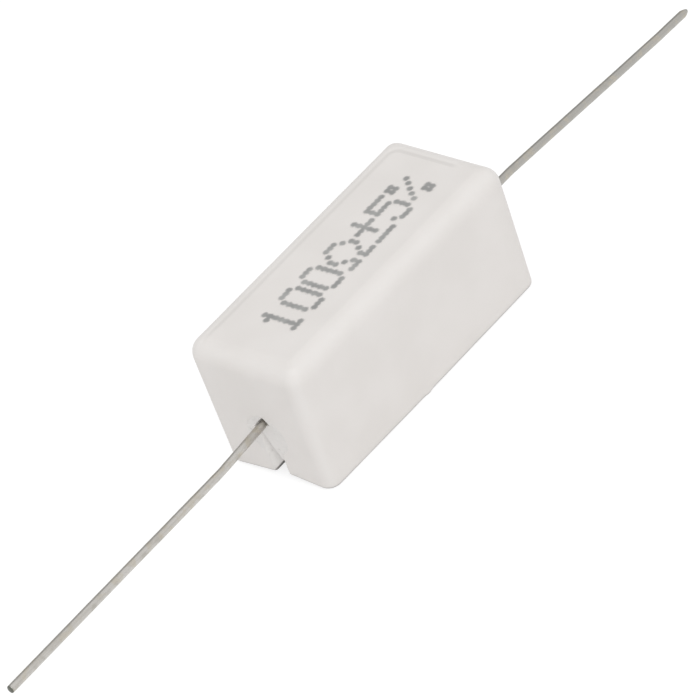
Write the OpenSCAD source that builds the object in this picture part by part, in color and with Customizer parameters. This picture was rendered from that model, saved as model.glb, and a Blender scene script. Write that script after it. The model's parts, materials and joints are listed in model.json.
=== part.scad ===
// Ceramic-cased wirewound power resistor with axial leads, 5 W size, in millimetres.
// The leads run along X, the printed face looks up (+Z) and the cement-filled open side lies on Z = 0.
// The origin is the middle of the cement face, level with the case's rim.

/* [Case] */
// Length of the case at its rim
case_len = 22; // [20:0.1:26]
// Width of the case at its rim
case_w = 9.1; // [8.6:0.1:12]
// Height of the case from rim to printed face
case_h = 10.1; // [9:0.1:13]
// How far each long side leans out from rim to printed face
side_lean = 0.25; // [0:0.05:0.4]
// How far each end leans out from rim to printed face
end_lean = 0.12; // [0:0.02:0.3]
// Round of the four edges of the printed face
top_round = 1.4; // [0.6:0.1:1.8]
// Round of the four upright edges
upright_round = 1.1; // [0.6:0.1:1.6]
// Plan-view corner radius that is left where two top rounds meet
corner_min = 0.35; // [0.2:0.05:0.5]
// Round of the outer edge of the rim
rim_round = 0.2; // [0.1:0.05:0.3]
// Thickness of the two long walls
side_wall = 1.3; // [1:0.1:1.5]
// Thickness of the two end walls
end_wall = 1.5; // [1.3:0.1:1.8]
// Thickness of the roof under the printed face
roof = 1.4; // [1:0.1:1.8]
// Corner radius inside the trough
trough_round = 0.8; // [0.4:0.1:1.2]

/* [Lead slots] */
// Width of the slot in each end wall
slot_w = 1.4; // [1:0.1:1.8]
// Diameter of the slot's round head
slot_head_d = 3.1; // [2.2:0.1:3.6]
// Sideways place of slots and leads, a little off the middle
slot_y = -0.2; // [-0.4:0.05:0.4]
// Round of the wall's corners at the mouth of the slot
slot_lip = 0.4; // [0.2:0.05:0.6]
// Height by which the end wall's rim rises towards the slot
rim_rise = 0.45; // [0.1:0.05:0.7]
// Free height between the lead and the top of the slot's head
lead_headroom = 0.17; // [0.1:0.01:0.3]

/* [Leads] */
// Diameter of the tinned wire
lead_d = 0.55; // [0.5:0.05:0.8]
// How far the lead axis lies below the middle of the case's height
lead_drop = 0.45; // [0:0.05:0.8]
// Left lead, from the case to its first bend
left_root = 0.1; // [0.05:0.05:2]
// Left lead, length of the short stretch that slants down
left_slant_len = 4.4; // [2:0.1:6]
// Left lead, angle of that stretch below level, in degrees
left_slant_angle = 4.2; // [1:0.1:5]
// Left lead, length of the long straight stretch
left_run_len = 21.3; // [15:0.1:30]
// Left lead, angle of the long stretch below level, in degrees
left_run_angle = 0.1; // [0:0.05:0.9]
// Right lead, from the case to its first bend
right_root = 4.4; // [1:0.1:6]
// Right lead, length of the long straight stretch
right_run_len = 16.3; // [12:0.1:20]
// Right lead, angle of the long stretch below level, in degrees
right_run_angle = 4.2; // [3:0.1:5]
// Right lead, length of the tip stretch
right_tip_len = 3.1; // [2:0.1:6]
// Right lead, angle of the tip stretch below level, in degrees
right_tip_angle = 2.8; // [1:0.1:2.9]

/* [Element] */
// Cement between an end cap and a long wall, for an element in the middle of the trough
cement_side = 0.63; // [0.45:0.01:0.8]
// Cement between an end cap and an end wall
cement_end = 1.7; // [1:0.1:2.4]
// Length of an end cap along the rod
cap_len = 3.6; // [2.5:0.1:4.5]
// Sheet thickness of an end cap
cap_t = 0.3; // [0.2:0.05:0.4]
// Diameter of the resistance wire
wire_d = 0.2; // [0.15:0.01:0.25]
// Distance from one turn of the winding to the next
wire_pitch = 0.44; // [0.4:0.01:0.8]

/* [Cement] */
// Recess of the cement behind the end wall, at the lead
plug_recess = 0.1; // [0.05:0.05:0.4]
// Recess of the cement behind the end wall, at the foot of the slot
plug_foot_recess = 1.1; // [0.6:0.05:1.2]
// Distance below the lead axis at which the cement starts to fall back
plug_knee = 0.7; // [0.5:0.1:1.5]
// Depth of the small void above the lead where it leaves the cement
void_depth = 0.7; // [0.3:0.1:1]

/* [Print] */
// Diameter of one ink dot
dot_d = 0.36; // [0.2:0.02:0.36]
// Distance between the dot columns of a character
dot_step_x = 0.375; // [0.37:0.005:0.4]
// Distance between the dot rows of a character
dot_step_y = 0.458; // [0.4:0.002:0.5]
// Distance from a character's last column to the next one's first
char_gap = 0.65; // [0.5:0.05:0.75]
// Sideways place of the middle of the printed line
print_y = -0.38; // [-0.6:0.02:0.4]
// Thickness of the ink
ink_t = 0.02; // [0.01:0.01:0.05]

/* [Hidden] */
$fn = 48;

// Clearance between cement and whatever it touches
bond_gap = 0.01;
// Clearance between the cap and the rod inside it
cap_fit = 0.02;
// Clearance between the winding's wire and the rod, which also covers the flats of its faceted turns
wire_fit = 0.04;
// Overlength of a cut, so that it runs clear of the face that it opens
over = 1;

// Half sizes of the trough, and its roof line
trough_x = case_len / 2 - end_wall;
trough_y = case_w / 2 - side_wall;
trough_top = case_h - roof;

// Height of the lead axis above the cement face
lead_z = case_h / 2 - lead_drop;

// Round head of the slot, with its top just above the lead
slot_top_z = lead_z + lead_d / 2 + lead_headroom;
slot_head_z = slot_top_z - slot_head_d / 2;

// Size of the ceramic rod that fits inside the caps
core_d = 2 * (trough_y - cement_side - cap_t - cap_fit);
core_len = 2 * (trough_x - cement_end - cap_t);

// Outer radii of the element, and the bore that the cement leaves around it
cap_r = core_d / 2 + cap_fit + cap_t;
coil_r = core_d / 2 + wire_fit + wire_d / 2;
element_r = max(cap_r, coil_r + wire_d / 2) + bond_gap;
element_x = core_len / 2 + cap_t;

// Length of lead that stands between the cap and the case's end
buried_len = case_len / 2 - element_x;

// Facets of the case's rounds and of the winding
ROUND_STEPS = 8;
RIM_STEPS = 3;
TURN_STEPS = 24;
WIRE_SIDES = 6;

// Height of each ring of the outer surface, from the rim up to the printed face
ring_z = concat(
    [for (i = [0 : RIM_STEPS]) rim_round * (1 - cos(90 * i / RIM_STEPS))],
    [for (i = [0 : ROUND_STEPS]) case_h - top_round * (1 - sin(90 * i / ROUND_STEPS))]
);

// How far the surface has turned in from its upright part, for a ring at height z
function quarter(r, t) = r - sqrt(max(0, r * r - t * t));
function inset(z) =
    z < rim_round ? quarter(rim_round, rim_round - z) :
    z > case_h - top_round ? quarter(top_round, z - case_h + top_round) : 0;

// Points of a rectangle with rounded corners, given its half sizes
function corner(cx, cy, r, a0) = [for (i = [0 : ROUND_STEPS])
    let (a = a0 + 90 * i / ROUND_STEPS) [cx + r * cos(a), cy + r * sin(a)]
];
function round_rect(hx, hy, r) = concat(
    corner(hx - r, hy - r, r, 0), corner(r - hx, hy - r, r, 90),
    corner(r - hx, r - hy, r, 180), corner(hx - r, r - hy, r, 270)
);
function ring_2d(z) = round_rect(
    case_len / 2 + end_lean * z / case_h - inset(z),
    case_w / 2 + side_lean * z / case_h - inset(z),
    max(upright_round - inset(z), corner_min)
);

// Triangles between ring k and the next one, of n points each
function band(k, n) = [for (i = [0 : n - 1]) each [
    [k * n + i, k * n + n + i, k * n + (i + 1) % n],
    [k * n + (i + 1) % n, k * n + n + i, k * n + n + (i + 1) % n]
]];

// Closed solid through a stack of rings that each have as many points
module loft(rings) {
    n = len(rings[0]);
    last = len(rings) - 1;
    polyhedron(
        points = [for (ring = rings) each ring],
        faces = concat(
            [[for (i = [0 : n - 1]) i]],
            [for (k = [0 : last - 1]) each band(k, n)],
            [[for (i = [n - 1 : -1 : 0]) last * n + i]]
        )
    );
}

// Rounded rectangle of full size l by w, made of true arcs
module round_plate(l, w, r) {
    square([l - 2 * r, w], center = true);
    square([l, w - 2 * r], center = true);
    for (x = [-1, 1], y = [-1, 1]) {
        translate([x * (l / 2 - r), y * (w / 2 - r)]) circle(r);
    }
}

// Stands a Y-Z drawing up and gives it a length along +X
module along_x(x, length) {
    translate([x, 0, 0]) rotate([90, 0, 90]) linear_extrude(length) children();
}

// Round bar on the lead axis from x, length along +X
module along_axis(x, length, r) {
    translate([x, slot_y, lead_z]) rotate([0, 90, 0]) cylinder(r = r, h = length);
}

// Puts the children at both ends of the part, the second turned to face -X
module both_ends() {
    children();
    mirror([1, 0, 0]) children();
}

// Y-Z outline of the slot, smaller all round by gap
module slot_outline(gap) {
    translate([slot_y, 0]) {
        translate([-slot_w / 2 + gap, -over]) square([slot_w - 2 * gap, slot_head_z + over]);
        translate([0, slot_head_z]) circle(slot_head_d / 2 - gap);
    }
}

// Y-Z outline of the two rounded-off corners at the slot's mouth
module slot_lips() {
    for (side = [-1, 1]) {
        translate([slot_y + side * slot_w / 2, rim_rise]) {
            difference() {
                translate([side > 0 ? 0 : -slot_lip, -over]) square([slot_lip, slot_lip + over]);
                translate([side * slot_lip, slot_lip]) circle(slot_lip);
            }
        }
    }
}

// Y-Z outline of what the rising rim of the end wall leaves open
module rim_rise_outline() {
    edge = case_w / 2 - rim_round;
    polygon([
        [-edge, 0], [slot_y - slot_w / 2, rim_rise], [slot_y + slot_w / 2, rim_rise], [edge, 0],
        [edge, -over], [-edge, -over]
    ]);
}

module ceramic_case() {
    color([0.86, 0.85, 0.83]) difference() {
        loft([for (z = ring_z) [for (p = ring_2d(z)) [p[0], p[1], z]]]);
        translate([0, 0, -over]) linear_extrude(trough_top + over) {
            round_plate(2 * trough_x, 2 * trough_y, trough_round);
        }
        both_ends() along_x(trough_x - over, end_wall + 2 * over) slot_outline(0);
        both_ends() along_x(trough_x, end_wall + over) {
            slot_lips();
            rim_rise_outline();
        }
    }
}

// X-Z side view of the cement in one slot, which falls back from the lead to the foot
module plug_profile() {
    polygon([
        [trough_x - over, rim_rise],
        [case_len / 2 - plug_foot_recess, rim_rise],
        [case_len / 2 - plug_recess, lead_z - plug_knee],
        [case_len / 2 - plug_recess, slot_top_z],
        [trough_x - over, slot_top_z]
    ]);
}

// Cement in one slot, with the void that stays open above the lead
module cement_plug() {
    difference() {
        intersection() {
            along_x(trough_x - over, end_wall + over) slot_outline(bond_gap);
            translate([0, case_w / 2, 0]) rotate([90, 0, 0]) linear_extrude(case_w) plug_profile();
        }
        intersection() {
            translate([case_len / 2 - void_depth, slot_y, lead_z]) {
                rotate([0, 90, 0]) cylinder(r = lead_d / 2 + lead_headroom, h = void_depth);
            }
            translate([0, -case_w / 2, lead_z]) cube([case_len, case_w, case_h]);
        }
    }
}

module cement_fill() {
    color([0.80, 0.79, 0.76]) difference() {
        union() {
            linear_extrude(trough_top - bond_gap) {
                round_plate(2 * (trough_x - bond_gap), 2 * (trough_y - bond_gap), trough_round);
            }
            both_ends() cement_plug();
        }
        along_axis(-element_x - bond_gap, 2 * (element_x + bond_gap), element_r);
        along_axis(-case_len, 2 * case_len, lead_d / 2 + bond_gap);
    }
}

module core_rod() {
    color([0.88, 0.86, 0.80]) along_axis(-core_len / 2, core_len, core_d / 2);
}

// Half the length of the stretch between the caps, and the turns that fit there
bare_x = element_x - cap_len;
coil_x = bare_x - wire_d;
turns = floor(2 * coil_x / wire_pitch);

// Ring of the wire's section at turn t, square to the wire, on the lead axis
function wire_ring(t) = [for (s = [0 : WIRE_SIDES - 1])
    let (a = 360 * t, b = 360 * s / WIRE_SIDES, r = coil_r + wire_d / 2 * cos(b))
    [wire_pitch * (t - turns / 2) + wire_d / 2 * sin(b), slot_y + r * cos(a), lead_z + r * sin(a)]
];

module resistance_winding() {
    color([0.55, 0.53, 0.50]) loft([for (i = [0 : turns * TURN_STEPS]) wire_ring(i / TURN_STEPS)]);
}

// Pressed cup over one end of the rod
module end_cap() {
    color([0.70, 0.70, 0.68]) difference() {
        along_axis(element_x - cap_len, cap_len, cap_r);
        along_axis(element_x - cap_len - over, cap_len - cap_t + over, core_d / 2 + cap_fit);
    }
}

module right_end_cap() {
    end_cap();
}

module left_end_cap() {
    mirror([1, 0, 0]) end_cap();
}

// Wire along +X from the origin: straight runs, each followed by a mitred bend of so many degrees downwards
module wire_path(runs, i = 0, last_turn = 0) {
    length = runs[i][0];
    turn = runs[i][1];
    difference() {
        translate([-lead_d, 0, 0]) rotate([0, 90, 0]) cylinder(d = lead_d, h = length + 2 * lead_d);
        rotate([0, 180 - last_turn / 2, 0]) beyond_mitre();
        translate([length, 0, 0]) rotate([0, turn / 2, 0]) beyond_mitre();
    }
    if (i < len(runs) - 1) {
        translate([length, 0, 0]) rotate([0, turn, 0]) wire_path(runs, i + 1, turn);
    }
}

// What lies past the plane X = 0, wide enough to cut a wire off square or at a slant
module beyond_mitre() {
    translate([0, -lead_d, -lead_d]) cube([3 * lead_d, 2 * lead_d, 2 * lead_d]);
}

module right_lead() {
    color([0.68, 0.67, 0.64]) translate([element_x, slot_y, lead_z]) {
        wire_path([
            [buried_len + right_root, right_run_angle],
            [right_run_len, right_tip_angle - right_run_angle],
            [right_tip_len, 0]
        ]);
    }
}

module left_lead() {
    color([0.72, 0.71, 0.68]) mirror([1, 0, 0]) translate([element_x, slot_y, lead_z]) {
        wire_path([
            [buried_len + left_root, left_slant_angle],
            [left_slant_len, left_run_angle - left_slant_angle],
            [left_run_len, 0]
        ]);
    }
}

// Dot rows of each printed character, top row first
GLYPHS = [
    ["one", ["00100", "01100", "00100", "00100", "00100", "00100", "01110"]],
    ["zero", ["01110", "10001", "10001", "10001", "10001", "10001", "01110"]],
    ["five", ["11111", "10000", "11110", "00001", "00001", "10001", "01110"]],
    ["ohm", ["0011100", "0100010", "1000001", "1000001", "0100010", "0010100", "1110111"]],
    ["plus_minus", ["00100", "00100", "11111", "00100", "00100", "00000", "11111"]],
    ["percent", ["11000", "11001", "00010", "00100", "01000", "10011", "00011"]]
];
// A plain resistance and tolerance
LINE = ["one", "zero", "zero", "ohm", "plus_minus", "five", "percent"];

function rows_of(name) = [for (g = GLYPHS) if (g[0] == name) g[1]][0];
function glyph_w(name) = (len(rows_of(name)[0]) - 1) * dot_step_x;
function glyph_x(i) = i == 0 ? 0 : glyph_x(i - 1) + glyph_w(LINE[i - 1]) + char_gap;
line_len = glyph_x(len(LINE) - 1) + glyph_w(LINE[len(LINE) - 1]);

// Ink dots of one character, its top left dot at the origin
module glyph(rows) {
    for (j = [0 : len(rows) - 1], i = [0 : len(rows[j]) - 1]) {
        if (rows[j][i] == "1") {
            translate([i * dot_step_x, -j * dot_step_y, 0]) cylinder(d = dot_d, h = ink_t, $fn = 16);
        }
    }
}

module printed_marking() {
    rows = len(rows_of(LINE[0])) - 1;
    color([0.58, 0.58, 0.58]) translate([-line_len / 2, print_y + rows * dot_step_y / 2, case_h]) {
        for (i = [0 : len(LINE) - 1]) {
            translate([glyph_x(i), 0, 0]) glyph(rows_of(LINE[i]));
        }
    }
}

ceramic_case();
cement_fill();
core_rod();
resistance_winding();
left_end_cap();
right_end_cap();
left_lead();
right_lead();
printed_marking();
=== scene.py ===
# %% [markdown]
# A ceramic-cased power resistor, seen close up.
# A real one is a pressed ceramic trough with a wire-wound rod inside, drowned in cement, with a tinned wire
# at each end and one line of inkjet print on top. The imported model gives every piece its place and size.
# This lesson gives each piece its finish, one piece at a time, and measures what it makes.
# %% Load the frame
import json
import math
import random

import bmesh
import bpy
import numpy as np
from mathutils import Matrix, Vector, noise


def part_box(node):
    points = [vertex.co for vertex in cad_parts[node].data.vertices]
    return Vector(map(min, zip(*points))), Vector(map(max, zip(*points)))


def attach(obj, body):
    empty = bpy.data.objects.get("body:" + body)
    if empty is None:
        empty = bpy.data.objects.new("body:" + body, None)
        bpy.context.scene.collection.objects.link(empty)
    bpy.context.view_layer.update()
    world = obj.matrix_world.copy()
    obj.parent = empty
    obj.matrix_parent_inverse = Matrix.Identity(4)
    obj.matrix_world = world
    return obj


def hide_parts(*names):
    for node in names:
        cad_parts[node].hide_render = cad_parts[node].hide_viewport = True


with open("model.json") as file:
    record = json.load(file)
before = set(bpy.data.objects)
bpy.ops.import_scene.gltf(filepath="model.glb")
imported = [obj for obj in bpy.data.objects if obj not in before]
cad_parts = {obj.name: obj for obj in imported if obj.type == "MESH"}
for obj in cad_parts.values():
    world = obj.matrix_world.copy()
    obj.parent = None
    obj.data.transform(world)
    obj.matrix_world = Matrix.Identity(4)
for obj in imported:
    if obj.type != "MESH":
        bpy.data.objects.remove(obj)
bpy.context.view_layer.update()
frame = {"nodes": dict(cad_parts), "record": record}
print("nodes:", sorted(frame["nodes"]))

# %% [markdown]
# Every size below is written in millimetres, as on a drawing, and turned into metres where a mesh is made.
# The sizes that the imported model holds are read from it: the case's box, the lead axis and the wire's
# radius.
# %% Sizes from the frame
MM = 0.001


def box_mm(node):
    """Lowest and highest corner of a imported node, in millimetres."""
    return tuple(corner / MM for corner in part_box(node))


MOUNTS = {mount["name"]: mount for mount in frame["record"]["mounts"]}
CASE_HIGH = box_mm("ceramic_case")[1]
LEAD_R = MOUNTS["left_lead_wire"]["dims"]["r_mm"]
LEAD_HIGH = box_mm("right_lead")[1]
AXIS_Y = LEAD_HIGH.y - LEAD_R
AXIS_Z = LEAD_HIGH.z - LEAD_R
print(f"case top {CASE_HIGH.z:.2f} mm, lead axis at y {AXIS_Y:.2f}, z {AXIS_Z:.2f}, wire radius {LEAD_R}")

# %% [markdown]
# The camera comes from the photograph: its angles and distance were worked out from the case's outline. A
# long lens far away keeps the case's edges nearly parallel, as the photograph does.
# %% Camera
IMAGE_PX = 700
SENSOR_MM = 36.0
AZIMUTH = -38.258
ELEVATION = 37.051
ROLL = -20.375
DISTANCE = 438.70
FOCAL_PX = 6796.3
AIM = (-0.857, -2.520)
CASE_MIDDLE = Vector((0.0, 0.0, 5.059))
CLIP_RANGE_M = (0.01, 10.0)


def camera_axes(azimuth, elevation, roll):
    """Right, up and backward directions of a camera that looks at the case."""
    a, e, r = (math.radians(v) for v in (azimuth, elevation, roll))
    back = Vector((math.sin(a) * math.cos(e), -math.cos(a) * math.cos(e), math.sin(e)))
    level = Vector((0.0, 0.0, 1.0)).cross(back).normalized()
    upright = back.cross(level)
    right = math.cos(r) * level + math.sin(r) * upright
    up = math.cos(r) * upright - math.sin(r) * level
    return right, up, back


right, up, back = camera_axes(AZIMUTH, ELEVATION, ROLL)
camera_data = bpy.data.cameras.new("camera")
camera_data.sensor_width = SENSOR_MM
camera_data.lens = FOCAL_PX * SENSOR_MM / IMAGE_PX
camera_data.clip_start, camera_data.clip_end = CLIP_RANGE_M
camera = bpy.data.objects.new("camera", camera_data)
bpy.context.scene.collection.objects.link(camera)
camera_place = (CASE_MIDDLE + right * AIM[0] + up * AIM[1] + back * DISTANCE) * MM
camera.matrix_world = Matrix.Translation(camera_place) @ Matrix((right, up, back)).transposed().to_4x4()
bpy.context.scene.camera = camera
print(f"camera {DISTANCE:.0f} mm away with a lens of {camera_data.lens:.0f} mm")

# %% [markdown]
# Both kinds of node tree, shader and geometry, are built with one small helper. It adds a node, sets its
# settings and fills its inputs, either with a plain value or with a link from another node. The steps that
# come back in many trees, such as products, soft ramps and noise, get a function of their own.
# %% Helpers for node trees


def add(tree, kind, inputs=None, **settings):
    """Adds a node. Inputs are given by name or number, as values or as sockets to link."""
    node = tree.nodes.new(kind)
    for key, value in settings.items():
        setattr(node, key, value)
    for key, value in (inputs or {}).items():
        socket = node.inputs[key]
        if isinstance(value, bpy.types.NodeSocket):
            tree.links.new(value, socket)
        else:
            socket.default_value = value
    return node


def maths(tree, operation, a, b=0.0, clamp=False):
    """Output of one Math node."""
    return add(tree, "ShaderNodeMath", {0: a, 1: b}, operation=operation, use_clamp=clamp).outputs[0]


def times(tree, first, *factors):
    """Product of several values."""
    for factor in factors:
        first = maths(tree, "MULTIPLY", first, factor)
    return first


def vector_maths(tree, operation, a, b=None, output=0, **inputs):
    """Output of one Vector Math node."""
    given = {0: a, **({} if b is None else {1: b}), **inputs}
    return add(tree, "ShaderNodeVectorMath", given, operation=operation).outputs[output]


def noise_at(tree, vector, scale, detail, output=0, roughness=0.5):
    """Output of one Noise Texture node."""
    inputs = {"Vector": vector, "Scale": scale, "Detail": detail, "Roughness": roughness}
    return add(tree, "ShaderNodeTexNoise", inputs).outputs[output]


def stored(tree, name):
    """A mask that is stored on the mesh."""
    return add(tree, "ShaderNodeAttribute", attribute_name=name).outputs["Fac"]


def ramp(tree, value, low, high, to_low=0.0, to_high=1.0, smooth=True):
    """Output of a Map Range node from low..high to to_low..to_high."""
    kind = "SMOOTHSTEP" if smooth else "LINEAR"
    inputs = {0: value, 1: low, 2: high, 3: to_low, 4: to_high}
    return add(tree, "ShaderNodeMapRange", inputs, interpolation_type=kind).outputs[0]


def blend_colour(tree, factor, a, b):
    """Colour a turning into colour b by the factor."""
    inputs = {"Factor": factor, 6: a, 7: b}
    return add(tree, "ShaderNodeMix", inputs, data_type="RGBA").outputs[2]


def new_tree(name, kind, inputs, outputs):
    """An empty node group with named sockets. Returns it with what it is given and what it has to make."""
    tree = bpy.data.node_groups.new(name, kind)
    for direction, sockets in (("INPUT", inputs), ("OUTPUT", outputs)):
        for label, (socket_kind, value) in sockets.items():
            full_kind = "NodeSocket" + socket_kind
            socket = tree.interface.new_socket(label, in_out=direction, socket_type=full_kind)
            if value is not None:
                socket.default_value = value
    return tree, tree.nodes.new("NodeGroupInput").outputs, tree.nodes.new("NodeGroupOutput").inputs


def put_out(tree, made, **sockets):
    """Links the results to the group's outputs, by name."""
    for label, socket in sockets.items():
        tree.links.new(socket, made[label])
    return tree


print("helpers for node trees are ready")

# %% [markdown]
# A wall can be carved in two ways: with booleans on a closed block, or face by face. The block is easier to
# read, so the case and the cement are blocks that closed tools cut. Each tool is deleted after its cut.
# %% Helpers for meshes


def mesh_piece(name, points, faces, edges=()):
    """A new object from points in millimetres."""
    mesh = bpy.data.meshes.new(name)
    mesh.from_pydata([Vector(p) * MM for p in points], list(edges), faces)
    mesh.validate()
    piece = bpy.data.objects.new(name, mesh)
    bpy.context.scene.collection.objects.link(piece)
    return piece


def settle(piece):
    """Turns a piece with modifiers into a plain mesh."""
    depsgraph = bpy.context.evaluated_depsgraph_get()
    mesh = bpy.data.meshes.new_from_object(piece.evaluated_get(depsgraph), depsgraph=depsgraph)
    if piece.type == "MESH":
        old = piece.data
        piece.modifiers.clear()
        piece.data = mesh
        bpy.data.meshes.remove(old)
        return piece
    plain = bpy.data.objects.new(piece.name, mesh)
    bpy.context.scene.collection.objects.link(plain)
    name = piece.name
    bpy.data.objects.remove(piece)
    plain.name = name
    return plain


def carve(piece, tool, operation="DIFFERENCE"):
    """One boolean with a closed tool, which is then deleted."""
    modifier = piece.modifiers.new("carve", "BOOLEAN")
    modifier.operation = operation
    modifier.solver = "MANIFOLD"
    modifier.object = tool
    settle(piece)
    bpy.data.objects.remove(tool)
    return piece


def weld(piece, distance=1e-4, outward=False):
    """Merges points that coincide, and turns the faces outwards where asked."""
    bm = bmesh.new()
    bm.from_mesh(piece.data)
    bmesh.ops.remove_doubles(bm, verts=bm.verts, dist=distance * MM)
    bmesh.ops.dissolve_degenerate(bm, edges=bm.edges, dist=distance * MM)
    if outward:
        bmesh.ops.recalc_face_normals(bm, faces=bm.faces)
    bm.to_mesh(piece.data)
    bm.free()
    return piece


def coordinates(piece):
    """The mesh's points as an array, in millimetres."""
    flat = np.empty(len(piece.data.vertices) * 3)
    piece.data.vertices.foreach_get("co", flat)
    return flat.reshape(-1, 3) / MM


def move_points(piece, points):
    """Writes points in millimetres back into the mesh."""
    piece.data.vertices.foreach_set("co", (np.asarray(points) * MM).ravel())
    piece.data.update()


def set_mask(piece, name, values):
    """Stores one number for each point, for the material to read."""
    attribute = piece.data.attributes.new(name, "FLOAT", "POINT")
    attribute.data.foreach_set("value", np.clip(values, 0.0, 1.0))


def stacked_loops(name, loops, close=True):
    """A skin over a stack of loops that have as many points each, open or closed at its two ends."""
    count = len(loops[0])
    faces = []
    for level in range(len(loops) - 1):
        low, high = level * count, (level + 1) * count
        for i in range(count):
            j = (i + 1) % count
            faces.append((low + i, low + j, high + j, high + i))
    if close:
        faces.append(tuple(range(count - 1, -1, -1)))
        faces.append(tuple(range((len(loops) - 1) * count, len(loops) * count)))
    return mesh_piece(name, [p for loop in loops for p in loop], faces)


def report(piece):
    """Prints a piece's size, and whether its mesh is closed."""
    bm = bmesh.new()
    bm.from_mesh(piece.data)
    open_edges = sum(1 for e in bm.edges if len(e.link_faces) != 2)
    triangles = sum(len(f.verts) - 2 for f in bm.faces)
    volume = bm.calc_volume() / MM**3
    bm.free()
    points = coordinates(piece)
    low, high = points.min(0).round(3).tolist(), points.max(0).round(3).tolist()
    print(f"{piece.name}: {triangles} triangles, {open_edges} open edges, {volume:.2f} mm3, {low} to {high}")


print("helpers for meshes are ready")

# %% [markdown]
# The case is pressed from ceramic powder and fired. Its walls lean out a little towards the printed face,
# the four edges of that face have a wide round, and the punch leaves a fine sunk line where round and flat
# meet. A box with a bevel would give all the edges one round. Instead, the skin is a stack of rounded
# loops, each with its own height, inset and corner, so every edge of the real case gets its own shape.
# %% The case's outer skin
END_LEAN = 0.12
SIDE_LEAN = 0.25
TOP_ROUND = 1.4
UPRIGHT_ROUND = 1.1
FOOT_ROUND = 0.9
CORNER_MIN = 0.35
RIM_ROUND = 0.2
CASE_TOP = CASE_HIGH.z
ROUND_START = 1 - TOP_ROUND / CASE_TOP
RIM_HALF_LENGTH = CASE_HIGH.x - END_LEAN * ROUND_START
RIM_HALF_WIDTH = CASE_HIGH.y - SIDE_LEAN * ROUND_START
STEPS_ROUND_CASE = (110, 46, 8)
UNDER_RIM_INSETS = (3.2, 2.2, 1.6, 1.1, 0.7, 0.4)
RIM_LEVELS = 5
WALL_LEVELS = 52
ROUND_LEVELS = 12
ROUND_DEG = 72
BRIM_LEVELS = ((0.012, 1.15, 0.42), (0.003, 1.22, 0.5))
FLAT_LEVELS = 20
PUNCH_LINE = 1.42
PUNCH_CORNER = 0.7
PUNCH_SPACING = 0.04
PUNCH_SINK = 0.034


def rounded_loop(half_x, half_y, radius, per_x, per_y, per_corner):
    """Points of a rounded rectangle, anticlockwise, with evenly divided sides and corners."""
    radius = min(radius, half_x, half_y)
    signs = ((1, 1), (-1, 1), (-1, -1), (1, -1))
    centres = [Vector((sx * (half_x - radius), sy * (half_y - radius))) for sx, sy in signs]
    points = []
    for quarter in range(4):
        steps = per_y if quarter % 2 == 0 else per_x
        first = math.radians(90 * quarter)
        arm = radius * Vector((math.cos(first), math.sin(first)))
        side_from, side_to = centres[quarter - 1] + arm, centres[quarter] + arm
        points += [side_from.lerp(side_to, i / steps) for i in range(steps)]
        for i in range(per_corner):
            a = first + math.radians(90 * i / per_corner)
            points.append(centres[quarter] + radius * Vector((math.cos(a), math.sin(a))))
    return points


def case_loop(z, inset, radius):
    """One loop of the case's skin at height z, drawn in by the inset."""
    half_x = RIM_HALF_LENGTH + END_LEAN * z / CASE_TOP - inset
    half_y = max(RIM_HALF_WIDTH + SIDE_LEAN * z / CASE_TOP - inset, 0.0)
    return [(p.x, p.y, z) for p in rounded_loop(half_x, half_y, radius, *STEPS_ROUND_CASE)]


def case_levels():
    """Height, inset and corner radius of every loop, from the rim plane's middle to the top's middle."""
    levels = [(0.0, inset, CORNER_MIN) for inset in (RIM_HALF_WIDTH, *UNDER_RIM_INSETS)]
    for i in range(RIM_LEVELS):
        a = math.radians(90 * i / RIM_LEVELS)
        inset = RIM_ROUND * (1 - math.sin(a))
        levels.append((RIM_ROUND * (1 - math.cos(a)), inset, FOOT_ROUND - inset))
    wall_top = CASE_TOP - TOP_ROUND
    for i in range(WALL_LEVELS):
        radius = FOOT_ROUND + (UPRIGHT_ROUND - FOOT_ROUND) * i / (WALL_LEVELS - 1)
        levels.append((RIM_ROUND + (wall_top - RIM_ROUND) * i / WALL_LEVELS, 0.0, radius))
    for i in range(ROUND_LEVELS + 1):
        a = math.radians(ROUND_DEG * i / ROUND_LEVELS)
        inset = TOP_ROUND * (1 - math.cos(a))
        levels.append((wall_top + TOP_ROUND * math.sin(a), inset, max(UPRIGHT_ROUND - inset, CORNER_MIN)))
    levels += [(CASE_TOP - sunk, inset, corner) for sunk, inset, corner in BRIM_LEVELS]
    levels += [(CASE_TOP, PUNCH_LINE + PUNCH_SPACING * i, PUNCH_CORNER) for i in range(-3, 5)]
    line_end = PUNCH_LINE + 4 * PUNCH_SPACING
    flat_from = line_end + PUNCH_SPACING
    flat_width = RIM_HALF_WIDTH + SIDE_LEAN - flat_from
    for inset in (flat_from + flat_width * i / FLAT_LEVELS for i in range(FLAT_LEVELS + 1)):
        levels.append((CASE_TOP, inset, max(PUNCH_CORNER - 0.5 * (inset - line_end), 0.0)))
    return levels


case = stacked_loops("pressed_ceramic_case", [case_loop(*level) for level in case_levels()], close=False)
weld(case, distance=1e-3)
report(case)

# %% [markdown]
# The rim isn't quite flat. On each end wall it rises towards the lead slot, so a card held under the case
# would show a thin gap there. Lifting the skin's own points keeps the rim's round edge, which a cut would
# lose.
# %% The rim rises towards the slots
SLOT_HALF = {-1: 0.60, 1: 0.45}
SLOT_LIP = {-1: 0.24, 1: 0.22}
RISE_AT_SLOT = {-1: 0.39, 1: 0.28}
RISE_AT_CORNER = {-1: 0.0, 1: 0.05}
RISE_FADE = 2.6
END_WALL = 1.5
SIDE_WALL = 1.3
WALL_INSIDE = RIM_HALF_LENGTH - END_WALL
SIDE_INSIDE = RIM_HALF_WIDTH - SIDE_WALL


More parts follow.
